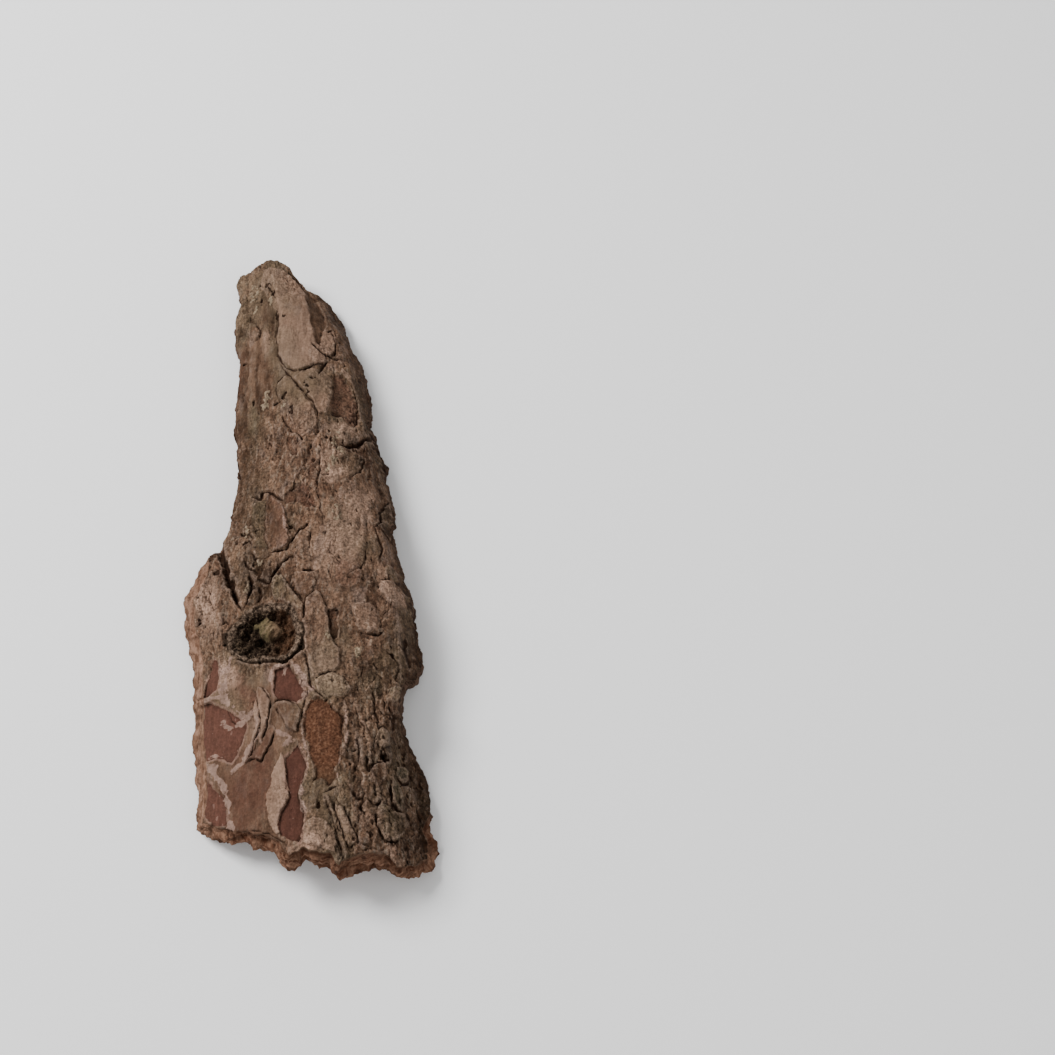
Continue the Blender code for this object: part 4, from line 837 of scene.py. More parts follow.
def weathered_surface(x, y):
    """Curve plus scales, hollow, cork, fibres, pale edges, cracks, spots and knot, with the
    amounts that the colours need at each place."""
    share = roughness_share(x, y)
    scales, tone, warmth, bare = scale_relief(x, y)
    tone, warmth = tinted(x, y, tone, warmth)
    grainy = within_outline(GRAINY_HOLLOW, x + frayed(x, y, 15, 1.5), y + frayed(x, y, 25, 1.5))
    hollow_share = ease(grainy / 0.7 + 0.5)
    hollow_floor = ease(grainy / 1.5)
    flat = (1 - 0.8 * ease(bare / 0.8 + 0.5)) * (1 - 0.6 * hollow_floor)
    hollow = 0.22 * flat * hollow_floor * rough_noise(x, y, 1.3, 125, 2)
    hollow = hollow - HOLLOW_DEPTH * hollow_share
    cork, opened, layer_tone, crumb_tone = cork_relief(x, y, share, flat)
    fibres = 0.10 * rough_noise(x, y * 0.18, 1.5, 131, 2)
    pale = pale_edges(x, y)
    lines = 0.2 * ease(pale / 0.5 + 0.5)
    cracks, within_crack = crack_relief(x, y)
    crumb_share, within_crumb = ragged_rounds(CRUMBS, x, y)
    hole_share, within_hole = ragged_rounds(HOLES, x, y)
    spots = CRUMB_HEIGHT * crumb_share - HOLE_DEPTH * hole_share
    knot, marks = knot_relief(x, y)
    away = off_knot(x, y)
    relief = scales + hollow + cork + fibres + lines + cracks + spots
    height = weathered_curve(x, y) + away * relief + knot
    height = np.maximum(height, inner_height(x, y) + THINNEST)
    crack = np.maximum(np.maximum(within_crack, within_hole - 0.35), opened)
    in_knot = 2 * FAR * (1 - away)
    marks.update({
        "tone": tone * (1 - 0.6 * hollow_share) * away, "warmth": warmth, "rough_share": share,
        "layer_tone": layer_tone, "crumb_tone": crumb_tone, "grainy": grainy,
        "crumb": within_crumb, "bare": bare - in_knot,
        "pale_line": np.clip(pale, -FAR, FAR) - in_knot,
        "crack": np.clip(crack, -FAR, FAR) - in_knot})
    return height, marks


# The broken rim: the slab tore off in layers, and the inner layers reach further than the outer
# ones. Its layers are thin sheets of cork, ragged along the break.
RIM_LAYERS = 5
RIM_ROWS = 34
RIM_EVENING = 13


def rim_offset(x, y, depth):
    """Reach of the rim at a share of its depth: an eased slope, a ledge for each layer and rags."""
    wing = ease((-30 - x) / 8) * ease((y + 122) / 20) * ease((4 - y) / 14)
    end = ease((-108 - y) / 12)
    recess = 0.3 + 4.6 * wing + 2.4 * end
    slope = -recess * (1 - ease(depth / 0.75)) - 1.2 * ease((depth - 0.8) / 0.2)
    uneven = 0.6 * smooth_noise(x / 17, y / 17, 105) + 0.5 * smooth_noise(x / 4.5, y / 4.5, 108)
    layer = np.floor(RIM_LAYERS * depth + uneven)
    ledge = rough_noise(x + 31 * layer, y - 17 * layer, 6.5, 101, 4)
    ledge = ledge * (0.5 + (1.2 + 1.3 * end) * ease(depth * 3))
    ragged = (1 - 0.5 * wing) * rough_noise(x, y, 6.0, 111, 4)
    ragged = ragged + 0.25 * rough_noise(x, y, 1.7, 113, 2)
    sheet = np.floor(3.2 * RIM_LAYERS * depth + 2.2 * uneven)
    sheets = (0.4 - 0.2 * wing) * rough_noise(x + 13 * sheet, y + 29 * sheet, 2.8, 107, 3)
    sheets = sheets * ease(depth * 6) * ease((1 - depth) * 6)
    return slope + ledge + (0.9 + 0.5 * end) * ragged + (1 + 0.8 * end) * sheets


def evened(height, reach):
    """Average over a square of neighbours, by rows and then by columns."""
    padded = np.pad(height, reach, mode="edge")
    width = 2 * reach + 1
    summed = np.cumsum(np.pad(padded, ((1, 0), (0, 0))), axis=0)
    rows = (summed[width:] - summed[:-width]) / width
    summed = np.cumsum(np.pad(rows, ((0, 0), (1, 0))), axis=1)
    return (summed[:, width:] - summed[:, :-width]) / width


def grid_border(columns, rows):
    """Vertex numbers round a plan grid, anticlockwise from the bottom left corner."""
    index = np.arange((rows + 1) * (columns + 1)).reshape(rows + 1, columns + 1)
    return np.concatenate([index[0, :-1], index[:-1, -1], index[-1, :0:-1], index[:0:-1, 0]])


def grid_triangles(columns, rows):
    """Two triangles for each cell of a plan grid, seen from above."""
    row, column = np.meshgrid(np.arange(rows), np.arange(columns), indexing="ij")
    first = (row * (columns + 1) + column).reshape(-1)
    lower = np.stack([first, first + 1, first + columns + 2], 1)
    upper = np.stack([first, first + columns + 2, first + columns + 1], 1)
    return np.concatenate([lower, upper])


def band_triangles(above, below):
    """Two triangles for each cell between two rings of equal length."""
    next_above = np.roll(above, -1)
    next_below = np.roll(below, -1)
    return np.concatenate([np.stack([above, below, next_below], 1),
                           np.stack([above, next_below, next_above], 1)])


def halving_triangles(fine, coarse):
    """Three triangles for each side of a coarse ring that meets two sides of a fine one."""
    first = fine[::2]
    second = fine[1::2]
    third = np.roll(first, -1)
    following = np.roll(coarse, -1)
    return np.concatenate([np.stack([first, coarse, second], 1),
                           np.stack([second, coarse, following], 1),
                           np.stack([second, following, third], 1)])


# Grid steps over which heights are evened to find fine and broad hollows, and the resting values
# that the weathered side's marks have past its border.
FINE_REACH = 4
BROAD_REACH = 14
REST_MARKS = {"bare": -FAR, "grainy": -FAR, "pale_line": -FAR, "crack": -FAR, "crumb": -FAR,
              "knot_radius": 3.0}


def rim_plans():
    """Share of the rim's depth at each of its rows, and the outline moved by its reach there."""
    ring = rim_ring()
    normals = ring_normals(ring, RIM_EVENING)
    depths = np.linspace(0, 1, RIM_ROWS + 2)
    plans = [ring + normals * rim_offset(ring[:, 0], ring[:, 1], depth)[:, None]
             for depth in depths]
    return depths, plans


def with_heights(plan, height):
    """One row of three numbers for each place of a plan and its height."""
    return np.concatenate([plan, height[..., None]], -1).reshape(-1, 3)


def with_rest(name, values, count):
    """A mark of the weathered side, followed by its resting value for all other points."""
    return np.concatenate([values.reshape(-1), np.full(count, REST_MARKS.get(name, 0.0))])


def slab_surface():
    """Weathered side, rim rows and inner side as one closed shell, with the marks of each point;
    a rim row's height is its share between the two sides."""
    depths, plans = rim_plans()
    outer_plan = patch_between(plans[0], COLUMN_COUNT, ROW_COUNT)
    inner_plan = patch_between(plans[-1][::2], COLUMN_COUNT // 2, ROW_COUNT // 2)
    outer, marks = weathered_surface(outer_plan[..., 0], outer_plan[..., 1])
    marks["fine_hollow"] = outer - evened(outer, FINE_REACH)
    marks["broad_hollow"] = outer - evened(outer, BROAD_REACH)
    outer_points = with_heights(outer_plan, outer)
    inner_points = with_heights(inner_plan, inner_height(inner_plan[..., 0], inner_plan[..., 1]))
    above = grid_border(COLUMN_COUNT, ROW_COUNT)
    inner_border = grid_border(COLUMN_COUNT // 2, ROW_COUNT // 2)
    high = outer_points[above, 2]
    low = np.repeat(inner_points[inner_border, 2], 2)
    low = 0.5 * (low + np.roll(low, -1))
    points = [outer_points]
    triangles = [grid_triangles(COLUMN_COUNT, ROW_COUNT)]
    start = len(outer_points)
    for depth, plan in zip(depths[1:-1], plans[1:-1]):
        points.append(with_heights(plan, high * (1 - depth) + low * depth))
        below = start + np.arange(len(plan))
        triangles.append(band_triangles(above, below))
        start = start + len(plan)
        above = below
    points.append(inner_points)
    triangles.append(halving_triangles(above, start + inner_border))
    triangles.append(start + grid_triangles(COLUMN_COUNT // 2, ROW_COUNT // 2)[:, ::-1])
    points = np.concatenate(points)
    other_count = len(points) - len(outer_points)
    marks = {name: with_rest(name, values, other_count) for name, values in marks.items()}
    row_depths = np.repeat(depths[1:-1], len(plans[0]))
    marks["rim_depth"] = np.concatenate([np.zeros(len(outer_points)), row_depths,
                                         np.ones(len(inner_points))])
    marks["inner_side"] = (np.arange(len(points)) >= start) * 1.0
    return points, np.concatenate(triangles), marks


# The bark's colours, in layers as on the real thing: brown cork weathered grey and olive, reddish
# where scales fell off, pale along broken edges, cinnamon on the inner side; on top, painted black
# shade in cracks and hollows.
bark_paint = bpy.data.materials.new("weathered_pine_bark")
bark_paint.use_nodes = True
nodes = bark_paint.node_tree.nodes
links = bark_paint.node_tree.links
bark_place = nodes.new("ShaderNodeTexCoord").outputs["Object"]


def feed(socket, value):
    """Set a socket to a number or a colour, or link it to another socket."""
    if isinstance(value, (int, float)):
        socket.default_value = value
    elif isinstance(value, tuple):
        socket.default_value = (*value, 1)
    else:
        links.new(value, socket)


def mark(name):
    """A mark of the surface as a number."""
    node = nodes.new("ShaderNodeAttribute")
    node.attribute_name = name
    return node.outputs["Fac"]


def grain(size_mm, detail, stretch=(1, 1, 1), roughness=0.55):
    """Noise of a size in millimetres, from 0 to 1."""
    mapping = nodes.new("ShaderNodeMapping")
    mapping.inputs["Scale"].default_value = [share / (size_mm * MM) for share in stretch]
    links.new(bark_place, mapping.inputs["Vector"])
    node = nodes.new("ShaderNodeTexNoise")
    node.inputs["Scale"].default_value = 1.0
    node.inputs["Detail"].default_value = detail
    node.inputs["Roughness"].default_value = roughness
    links.new(mapping.outputs["Vector"], node.inputs["Vector"])
    return node.outputs["Fac"]


def reckon(kind, first, second):
    """One step of arithmetic on two numbers."""
    node = nodes.new("ShaderNodeMath")
    node.operation = kind
    feed(node.inputs[0], first)
    feed(node.inputs[1], second)
    return node.outputs["Value"]


def between(value, low, high, to_low=0.0, to_high=1.0):
    """Value carried smoothly from one range to another, and held at its ends."""
    node = nodes.new("ShaderNodeMapRange")
    node.interpolation_type = "SMOOTHSTEP"
    links.new(value, node.inputs["Value"])
    node.inputs["From Min"].default_value = low
    node.inputs["From Max"].default_value = high
    node.inputs["To Min"].default_value = to_low
    node.inputs["To Max"].default_value = to_high
    return node.outputs["Result"]


def blend(share, first, second):
    """Two colours mixed by a share."""
    node = nodes.new("ShaderNodeMix")
    node.data_type = "RGBA"
    feed(node.inputs["Factor"], share)
    feed(node.inputs[6], first)
    feed(node.inputs[7], second)
    return node.outputs[2]


def lightened(colour, amount):
    """Colour times a number."""
    node = nodes.new("ShaderNodeVectorMath")
    node.operation = "SCALE"
    links.new(colour, node.inputs[0])
    links.new(amount, node.inputs["Scale"])
    return node.outputs["Vector"]


place_axes = nodes.new("ShaderNodeSeparateXYZ")
links.new(bark_place, place_axes.inputs["Vector"])
place_x = place_axes.outputs["X"]
place_y = place_axes.outputs["Y"]
broad = grain(26, 3, (1, 0.6, 1))
patchy = grain(9, 5, (1, 0.7, 1), 0.6)
small = grain(2.6, 5, roughness=0.62)
tiny = grain(0.9, 4, roughness=0.65)
threads = grain(1.1, 3, (1, 0.12, 1))
flecks = grain(1.5, 4, (1, 0.36, 1), 0.65)
fray = reckon("MULTIPLY", reckon("SUBTRACT", grain(1.5, 5, roughness=0.7), 0.5), 2.2)
crumbly = mark("rough_share")


def frayed_mark(name, amount):
    """A mark of the surface plus an amount of fraying noise."""
    return reckon("ADD", mark(name), reckon("MULTIPLY", fray, amount))


# The weathered cork: brown in patches, with pale and dark flecks, a grey bloom and green algae.
CORK_SHADES = ((0.080, 0.045, 0.028), (0.136, 0.080, 0.051))
PALE_FLECKS = (0.195, 0.148, 0.112)
DARK_FLECKS = (0.046, 0.022, 0.013)
GREY_BLOOM = (0.158, 0.112, 0.090)
DAMP_CORK = (0.050, 0.025, 0.015)
ALGAE = (0.090, 0.070, 0.043)
RED_CORK = (0.150, 0.062, 0.044)
OLIVE_CORK = (0.080, 0.066, 0.040)
PALE_CORK = (0.280, 0.178, 0.126)
DARK_CORK = (0.020, 0.009, 0.004)


def weathered_cork():
    """Layers of noise blended over brown, then redder or more olive and paler or darker by the
    surface's marks."""
    cork = blend(between(patchy, 0.38, 0.62), *CORK_SHADES)
    fleck_share = reckon("ADD", 0.22, reckon("MULTIPLY", crumbly, 0.55))
    cork = blend(reckon("MULTIPLY", between(flecks, 0.51, 0.66), fleck_share), cork, PALE_FLECKS)
    cork = blend(reckon("MULTIPLY", between(flecks, 0.48, 0.34), fleck_share), cork, DARK_FLECKS)
    bloom = grain(5.5, 4, (1, 0.45, 1), 0.6)
    cork = blend(between(bloom, 0.54, 0.66, 0.0, 0.45), cork, GREY_BLOOM)
    cork = blend(between(bloom, 0.45, 0.34, 0.0, 0.5), cork, DAMP_CORK)
    cork = blend(between(broad, 0.48, 0.62, 0.0, 0.45), cork, ALGAE)
    warmth = frayed_mark("warmth", 0.12)
    cork = blend(between(warmth, 0.02, 1.0), cork, RED_CORK)
    cork = blend(between(warmth, -0.02, -1.0), cork, OLIVE_CORK)
    layer_light = reckon("ADD", 1.0, reckon("MULTIPLY", mark("layer_tone"), 0.30))
    crumb_light = reckon("ADD", 1.0, reckon("MULTIPLY", mark("crumb_tone"), 0.45))
    cork = lightened(cork, reckon("MULTIPLY", layer_light, crumb_light))
    # Tone also carries the darker steep flank, partly darker bark and partly painted shade.
    tone = frayed_mark("tone", 0.10)
    cork = blend(between(tone, 0.02, 1.1), cork, PALE_CORK)
    return blend(between(tone, -0.02, -1.1), cork, DARK_CORK)


# Where scales fell off: smooth maroon skin with a paler edge, and a hollow of russet grains.
BARE_EDGE = (0.215, 0.125, 0.095)
MAROON_SHADES = ((0.100, 0.044, 0.031), (0.080, 0.034, 0.024))
BROWN_MAROON = (0.095, 0.048, 0.032)
DARK_MAROON = (0.045, 0.018, 0.011)
FADED_MAROON = (0.150, 0.090, 0.070)
MAROON_FLECKS = (0.215, 0.125, 0.098)
RUSSET_SHADES = ((0.074, 0.031, 0.017), (0.108, 0.050, 0.028))
BROWN_RUSSET = (0.080, 0.046, 0.026)
PALE_GRAINS = (0.150, 0.090, 0.058)
DARK_GRAINS = (0.038, 0.014, 0.008)
bare_edge = frayed_mark("bare", 0.8)
grainy_edge = frayed_mark("grainy", 2.2)


def with_bare_patches(cork):
    """Broken pale edge outside each bare patch, and maroon with streaks and flecks inside it."""
    edge_share = reckon("MULTIPLY", between(bare_edge, -1.3, -0.7), between(bare_edge, 0.2, -0.2))
    edge_share = reckon("MULTIPLY", edge_share, between(patchy, 0.42, 0.6, 0.0, 0.7))
    cork = blend(edge_share, cork, BARE_EDGE)
    maroon = blend(between(place_x, -0.027, -0.005), *MAROON_SHADES)
    maroon = blend(between(patchy, 0.5, 0.72, 0.0, 0.35), maroon, BROWN_MAROON)
    maroon = blend(between(flecks, 0.56, 0.36, 0.0, 0.28), maroon, DARK_MAROON)
    maroon = blend(between(tiny, 0.66, 0.74, 0.0, 0.5), maroon, FADED_MAROON)
    fleck_share = between(grain(1.9, 2, (1, 0.6, 1)), 0.68, 0.72, 0.0, 0.6)
    maroon = blend(fleck_share, maroon, MAROON_FLECKS)
    return blend(between(bare_edge, -0.1, 0.2), cork, maroon)


def with_grainy_hollow(cork):
    """Russet with pale and dark grains inside the hollow, browner at its lower end."""
    russet = blend(between(tiny, 0.36, 0.66), *RUSSET_SHADES)
    russet = blend(between(place_y, -0.094, -0.106, 0.0, 0.8), russet, BROWN_RUSSET)
    russet = blend(between(tiny, 0.58, 0.68, 0.0, 0.5), russet, PALE_GRAINS)
    russet = blend(between(tiny, 0.40, 0.30, 0.0, 0.6), russet, DARK_GRAINS)
    return blend(between(grainy_edge, -0.3, 0.5), cork, russet)


# Broken edges and crumbs of dry cork are pale. Raised parts are paler, partly worn cork and
# partly a painted highlight, and hollows and cracks get a painted shade that is nearly black.
BROKEN_EDGE = (0.245, 0.158, 0.124)
DRY_CRUMBS = (0.255, 0.195, 0.130)
RIDGE_WEAR_AND_HIGHLIGHT = (0.250, 0.175, 0.135)
FINE_HOLLOW_SHADE = (0.020, 0.011, 0.007)
BROAD_HOLLOW_SHADE = (0.028, 0.012, 0.006)
CRACK_SHADE = (0.019, 0.009, 0.005)


def with_edges_and_crumbs(cork):
    """Pale edges and crumbs by their marks, and stray crumbs of noise where cork is crumbly."""
    edge_share = between(frayed_mark("pale_line", 0.9), 0.0, 0.35)
    edge_share = reckon("MULTIPLY", edge_share, between(small, 0.32, 0.48, 0.3, 0.85))
    cork = blend(edge_share, cork, BROKEN_EDGE)
    stray = reckon("MULTIPLY", between(grain(2.2, 2), 0.72, 0.76), between(crumbly, 0.4, 0.7))
    stray = reckon("MULTIPLY", stray, between(broad, 0.45, 0.6, 0.0, 0.6))
    crumb_share = reckon("MAXIMUM", between(frayed_mark("crumb", 1.6), 0.0, 0.4), stray)
    return blend(reckon("MULTIPLY", crumb_share, 0.68), cork, DRY_CRUMBS)


def with_painted_shade_highlight_and_wear(cork):
    """Painted highlight and paler wear where the surface stands above its surroundings, painted
    shade below them and in cracks.
    """
    # Raised parts get paler worn cork and a painted highlight; fine and broad hollows get painted
    # shade.
    cork = blend(between(mark("fine_hollow"), 0.08, 0.55, 0.0, 0.32), cork, RIDGE_WEAR_AND_HIGHLIGHT)
    cork = blend(between(mark("fine_hollow"), -0.10, -0.75, 0.0, 0.85), cork, FINE_HOLLOW_SHADE)
    cork = blend(between(mark("broad_hollow"), -0.25, -2.0, 0.0, 0.62), cork, BROAD_HOLLOW_SHADE)
    # Cracks, gaps between cells and holes get a near-black painted shade.
    return blend(between(frayed_mark("crack", 0.35), -0.28, 0.25, 0.0, 0.84), cork, CRACK_SHADE)


# The torn rim shows fresh layers: dark at the sides, rust at the wide end, paler at the narrow
# end and on the ledge at the left, with a painted shadow band under the outer layers at the wide
# end. The inner side is cinnamon brown fibre.
TORN_SHADES = ((0.034, 0.019, 0.012), (0.100, 0.059, 0.041))
WIDE_END_SHADES = ((0.078, 0.030, 0.016), (0.220, 0.120, 0.076))
WIDE_END_SHADOW_BAND = (0.042, 0.016, 0.008)
NARROW_END_SHADES = ((0.085, 0.050, 0.034), (0.190, 0.122, 0.090))
LEDGE_SHADES = ((0.150, 0.078, 0.048), (0.265, 0.154, 0.104))
LEDGE_STREAKS = (0.085, 0.038, 0.020)
TORN_PITS = (0.036, 0.016, 0.009)
INNER_SHADES = ((0.150, 0.072, 0.042), (0.235, 0.130, 0.082))
INNER_PATCHES = (0.100, 0.048, 0.028)
INNER_STAINS = (0.112, 0.060, 0.038)


def torn_rim():
    """Flat sheets of noise in two shades, other shades by place, a painted shadow band under the
    outer layers at the wide end, and dark pits.
    """
    sheet_share = between(grain(6.5, 5, (1, 1, 6), 0.62), 0.38, 0.62)
    depth = mark("rim_depth")
    # Painted shadow band just below the weathered side at the wide end, where the outer layers'
    # edge overhangs.
    shadow_band = reckon("MULTIPLY", between(depth, 0.04, 0.12), between(depth, 0.34, 0.18, 0.0, 0.45))
    wide_end = blend(shadow_band, blend(sheet_share, *WIDE_END_SHADES), WIDE_END_SHADOW_BAND)
    torn = blend(sheet_share, *TORN_SHADES)
    torn = blend(between(place_y, -0.105, -0.118), torn, wide_end)
    narrow_end = blend(sheet_share, *NARROW_END_SHADES)
    torn = blend(between(place_y, 0.114, 0.126), torn, narrow_end)
    ledge = reckon("MULTIPLY", between(place_x, -0.028, -0.036), between(place_y, 0.005, -0.01))
    torn = blend(reckon("MULTIPLY", ledge, 0.9), torn, blend(sheet_share, *LEDGE_SHADES))
    streak_share = reckon("MULTIPLY", ledge, between(threads, 0.52, 0.36, 0.0, 0.5))
    torn = blend(streak_share, torn, LEDGE_STREAKS)
    return blend(between(small, 0.50, 0.3, 0.0, 0.55), torn, TORN_PITS)


def inner_bark():
    """Fine fibres in two shades, with patches and broad stains of darker brown."""
    inner = blend(between(threads, 0.35, 0.65), *INNER_SHADES)
    inner = blend(between(patchy, 0.52, 0.7, 0.0, 0.6), inner, INNER_PATCHES)
    return blend(between(broad, 0.58, 0.40, 0.0, 0.6), inner, INNER_STAINS)


# The knot is grey brown ringed wood, rotted dark inside, with an olive stump. Painted black shade
# fills the gap where it shrank from the bark, the deep left of the pit and the stump's grooves.
RING_SHADES = ((0.030, 0.018, 0.011), (0.140, 0.098, 0.070))
RING_RIDGES = (0.190, 0.142, 0.108)
RING_GROOVES = (0.014, 0.008, 0.005)
GAP_SHADE = (0.012, 0.006, 0.003)
ROTTEN_SHADES = ((0.010, 0.005, 0.003), (0.090, 0.062, 0.040))
ROTTEN_RED = (0.058, 0.025, 0.012)
PIT_SHADE = (0.008, 0.004, 0.002)
STUMP_SHADES = ((0.086, 0.066, 0.034), (0.088, 0.054, 0.032))
STUMP_RIDGES = (0.165, 0.112, 0.068)
STUMP_GROOVE_SHADE = (0.022, 0.012, 0.006)


def with_knot(colour):
    """Ringed collar, rotten pit and stump, each blended in at its own knot radius."""
    radius = frayed_mark("knot_radius", 0.05)
    grit = grain(1.3, 4, roughness=0.7)
    ringed = blend(between(grit, 0.40, 0.62), *RING_SHADES)
    ringed = blend(between(mark("ring_line"), 0.3, 0.95, 0.0, 0.45), ringed, RING_RIDGES)
    ringed = blend(between(mark("ring_line"), -0.1, -0.8, 0.0, 0.6), ringed, RING_GROOVES)
    collar_share = between(patchy, 0.30, 0.46, 0.5, 0.95)
    colour = blend(reckon("MULTIPLY", between(radius, 1.10, 1.0), collar_share), colour, ringed)
    # Painted near-black shade in the gap where the collar shrank from the bark.
    colour = blend(between(mark("knot_gap"), 0.12, 0.5, 0.0, 0.85), colour, GAP_SHADE)
    rotten = blend(between(grit, 0.44, 0.64), *ROTTEN_SHADES)
    rotten = blend(between(place_x, -0.016, -0.007, 0.0, 0.6), rotten, ROTTEN_RED)
    # Painted shade deep in the pit, darkest at its deeper left side.
    left_share = between(place_x, -0.006, -0.020, 0.1, 0.55)
    rotten = blend(reckon("MULTIPLY", between(radius, 0.80, 0.5), left_share), rotten, PIT_SHADE)
    colour = blend(between(radius, 0.86, 0.78), colour, rotten)
    stump = blend(between(place_x, -0.0165, -0.0105), *STUMP_SHADES)
    stump = blend(between(mark("stump_ridge"), 0.1, 0.5, 0.0, 0.6), stump, STUMP_RIDGES)
    # Painted shade in the stump's grooves.
    stump = blend(between(mark("stump_ridge"), -0.05, -0.45, 0.0, 0.8), stump, STUMP_GROOVE_SHADE)
    stump_share = reckon("MULTIPLY", between(mark("stump"), 0.25, 0.7),
                         between(radius, 0.98, 0.86))
    return blend(stump_share, colour, stump)


def speckled(colour):
    """Colour times fine noise, weaker on smooth places, and times faint fibres."""
    speckle = reckon("MULTIPLY", between(tiny, 0.30, 0.70, 0.46, 1.40),
                     between(small, 0.30, 0.70, 0.72, 1.24))
    smooth_speckle = reckon("MULTIPLY", between(tiny, 0.30, 0.70, 0.76, 1.06),
                            between(small, 0.30, 0.70, 0.88, 1.08))
    plain = reckon("MAXIMUM", between(bare_edge, -0.1, 0.25), between(crumbly, 0.5, 0.1))
    plain = reckon("MAXIMUM", plain, between(grainy_edge, -0.3, 0.5, 0.0, 0.75))
    chosen = nodes.new("ShaderNodeMix")
    chosen.data_type = "FLOAT"
    feed(chosen.inputs["Factor"], plain)
    feed(chosen.inputs["A"], speckle)
    feed(chosen.inputs["B"], smooth_speckle)
    streaks = between(threads, 0.3, 0.7, 0.9, 1.1)
    return lightened(colour, reckon("MULTIPLY", chosen.outputs["Result"], streaks))


BUMP_STRENGTH = 0.9
BUMP_HEIGHT_MM = 0.9


def fine_bump():
    """Normal bent by fine noise, less on smooth places, and by fibres."""
    relief = reckon("ADD", reckon("MULTIPLY", tiny, 0.6), small)
    relief = reckon("MULTIPLY", relief, reckon("ADD", 0.35, reckon("MULTIPLY", crumbly, 0.65)))
    relief = reckon("ADD", relief, reckon("MULTIPLY", threads, 0.25))
    bump = nodes.new("ShaderNodeBump")
    bump.inputs["Strength"].default_value = BUMP_STRENGTH
    bump.inputs["Distance"].default_value = BUMP_HEIGHT_MM * MM
    links.new(relief, bump.inputs["Height"])
    return bump.outputs["Normal"]


outer_bark = with_grainy_hollow(with_bare_patches(weathered_cork()))
outer_bark = with_painted_shade_highlight_and_wear(with_edges_and_crumbs(outer_bark))
bark_colour = blend(between(mark("rim_depth"), 0.03, 0.16), outer_bark, torn_rim())
bark_colour = blend(between(mark("inner_side"), 0.3, 0.7), bark_colour, inner_bark())
bark_colour = speckled(with_knot(bark_colour))
shader = nodes["Principled BSDF"]
links.new(bark_colour, shader.inputs["Base Color"])
links.new(between(small, 0.3, 0.7, 0.80, 0.97), shader.inputs["Roughness"])
links.new(fine_bump(), shader.inputs["Normal"])
shader.inputs["Metallic"].default_value = 0.0
shader.inputs["Specular IOR Level"].default_value = 0.05

# The slab itself, in one piece: its fine surface stands for the faceted solid.
PIECE_TRIANGLES = 197000


def bark_slab():
    """Closed shell from the arrays, its marks as point attributes, thinned where it is flat."""
    points, triangles, marks = slab_surface()
    points[:, 0] = points[:, 0] - PLAN_MIDDLE[0]
    points[:, 1] = points[:, 1] - PLAN_MIDDLE[1]
    mesh = bpy.data.meshes.new("weathered_slab")
    mesh.vertices.add(len(points))
    mesh.vertices.foreach_set("co", (points * MM).astype(np.float32).reshape(-1))
    mesh.loops.add(triangles.size)
    mesh.loops.foreach_set("vertex_index", triangles.astype(np.int32).reshape(-1))
    mesh.polygons.add(len(triangles))
    mesh.polygons.foreach_set("loop_start", np.arange(0, triangles.size, 3, dtype=np.int32))
    mesh.update(calc_edges=True)
    for name, values in marks.items():
        attribute = mesh.attributes.new(name, "FLOAT", "POINT")
        attribute.data.foreach_set("value", values.astype(np.float32))
    slab = bpy.data.objects.new("weathered_slab", mesh)
    bpy.context.scene.collection.objects.link(slab)
    thinning = slab.modifiers.new("thinning", "DECIMATE")
    thinning.decimate_type = "COLLAPSE"
    thinning.ratio = PIECE_TRIANGLES / len(triangles)
    thinned = slab.evaluated_get(bpy.context.evaluated_depsgraph_get())
    slab.data = bpy.data.meshes.new_from_object(thinned)
    slab.modifiers.clear()
    slab.data.polygons.foreach_set("use_smooth", np.ones(len(slab.data.polygons), bool))
    slab.data.materials.clear()
    slab.data.materials.append(bark_paint)
    return slab


weathered_slab = bark_slab()
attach(weathered_slab, "root")
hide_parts("bark_slab")

# The pale table the slab lies on: a plain matt sheet, much wider than the slab.
FLOOR_HALF = 3.0


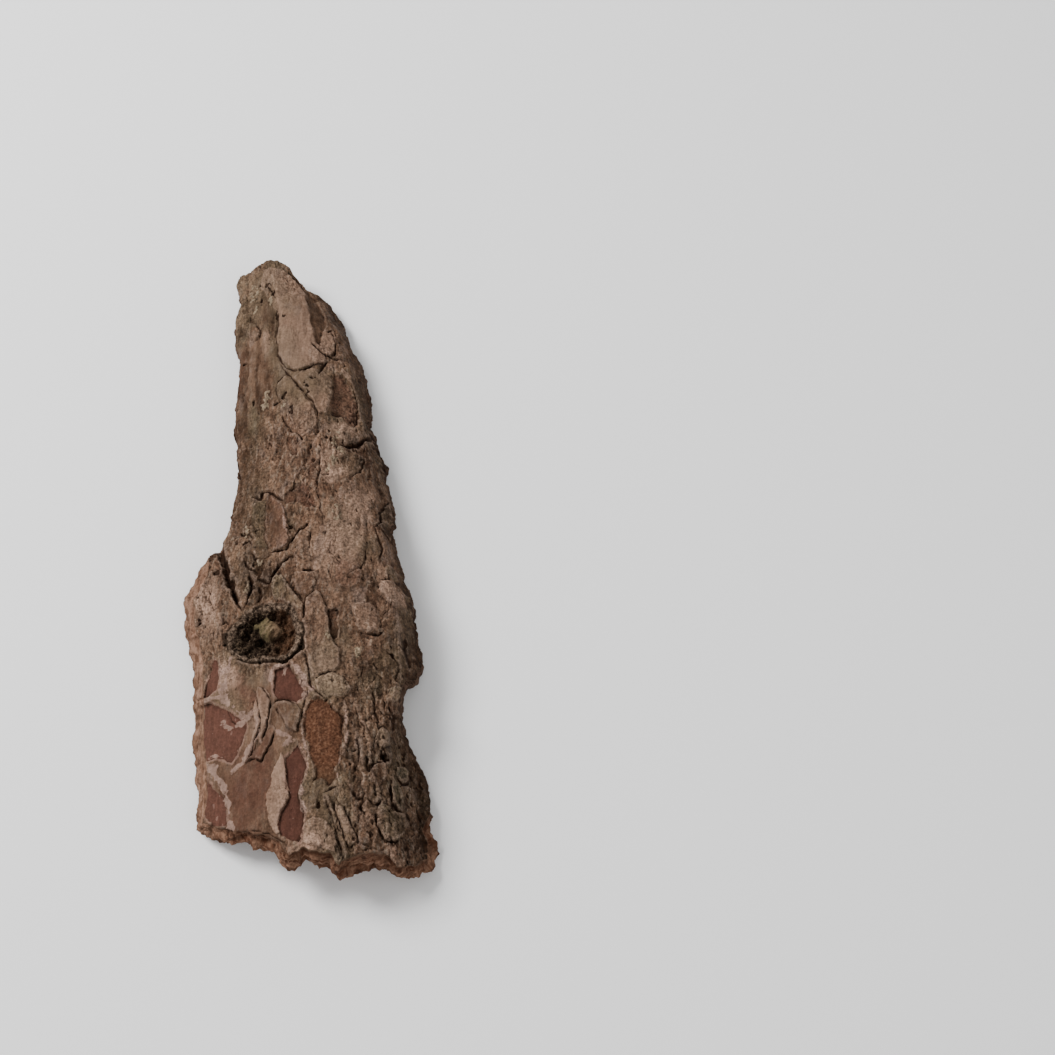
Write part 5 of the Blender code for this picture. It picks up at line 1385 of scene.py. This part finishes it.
def pale_floor():
    """Square of four corners at ground level."""
    mesh = bpy.data.meshes.new("floor")
    corners = [(-1, -1), (1, -1), (1, 1), (-1, 1)]
    mesh.from_pydata([(x * FLOOR_HALF, y * FLOOR_HALF, 0) for x, y in corners], [], [(0, 1, 2, 3)])
    floor = bpy.data.objects.new("floor", mesh)
    bpy.context.scene.collection.objects.link(floor)
    paint = bpy.data.materials.new("pale_floor")
    paint.use_nodes = True
    paint.node_tree.nodes["Principled BSDF"].inputs["Base Color"].default_value = (0.9, 0.9, 0.9, 1)
    paint.node_tree.nodes["Principled BSDF"].inputs["Roughness"].default_value = 0.9
    mesh.materials.append(paint)
    return floor


pale_floor()

# Soft studio light: one wide lamp high at the left, a weaker one at the right, and a bright room.
LAMPS = [("key_lamp", (-0.9, 0.5, 1.1), 0.6, 34.0), ("fill_lamp", (1.2, -0.8, 1.0), 1.2, 5.0)]
ROOM_LIGHT = 0.62


def aimed(thing, place, target):
    """Put a lamp or camera at a place, looking at a target."""
    thing.location = place
    thing.rotation_euler = (Vector(target) - Vector(place)).to_track_quat("-Z", "Y").to_euler()


for name, place, size, power in LAMPS:
    light = bpy.data.lights.new(name, "AREA")
    light.size = size
    light.energy = power
    lamp = bpy.data.objects.new(name, light)
    bpy.context.scene.collection.objects.link(lamp)
    aimed(lamp, place, (0, 0, 0.02))
world = bpy.data.worlds.new("room")
world.use_nodes = True
world.node_tree.nodes["Background"].inputs["Color"].default_value = (1, 1, 1, 1)
world.node_tree.nodes["Background"].inputs["Strength"].default_value = ROOM_LIGHT
bpy.context.scene.world = world

# The camera looks steeply down along the slab, as the photograph does.
VIEW_HEIGHT_DEG = 66.0
VIEW_DISTANCE = 0.72
VIEW_TARGET = (0.0879, 0.0079, 0.015)
LENS = 60.0
SENSOR = 36.0
camera_data = bpy.data.cameras.new("camera")
camera_data.lens = LENS
camera_data.sensor_width = SENSOR
camera = bpy.data.objects.new("camera", camera_data)
bpy.context.scene.collection.objects.link(camera)
height = math.radians(VIEW_HEIGHT_DEG)
aimed(camera, (VIEW_TARGET[0], VIEW_TARGET[1] - VIEW_DISTANCE * math.cos(height),
               VIEW_TARGET[2] + VIEW_DISTANCE * math.sin(height)), VIEW_TARGET)
bpy.context.scene.camera = camera
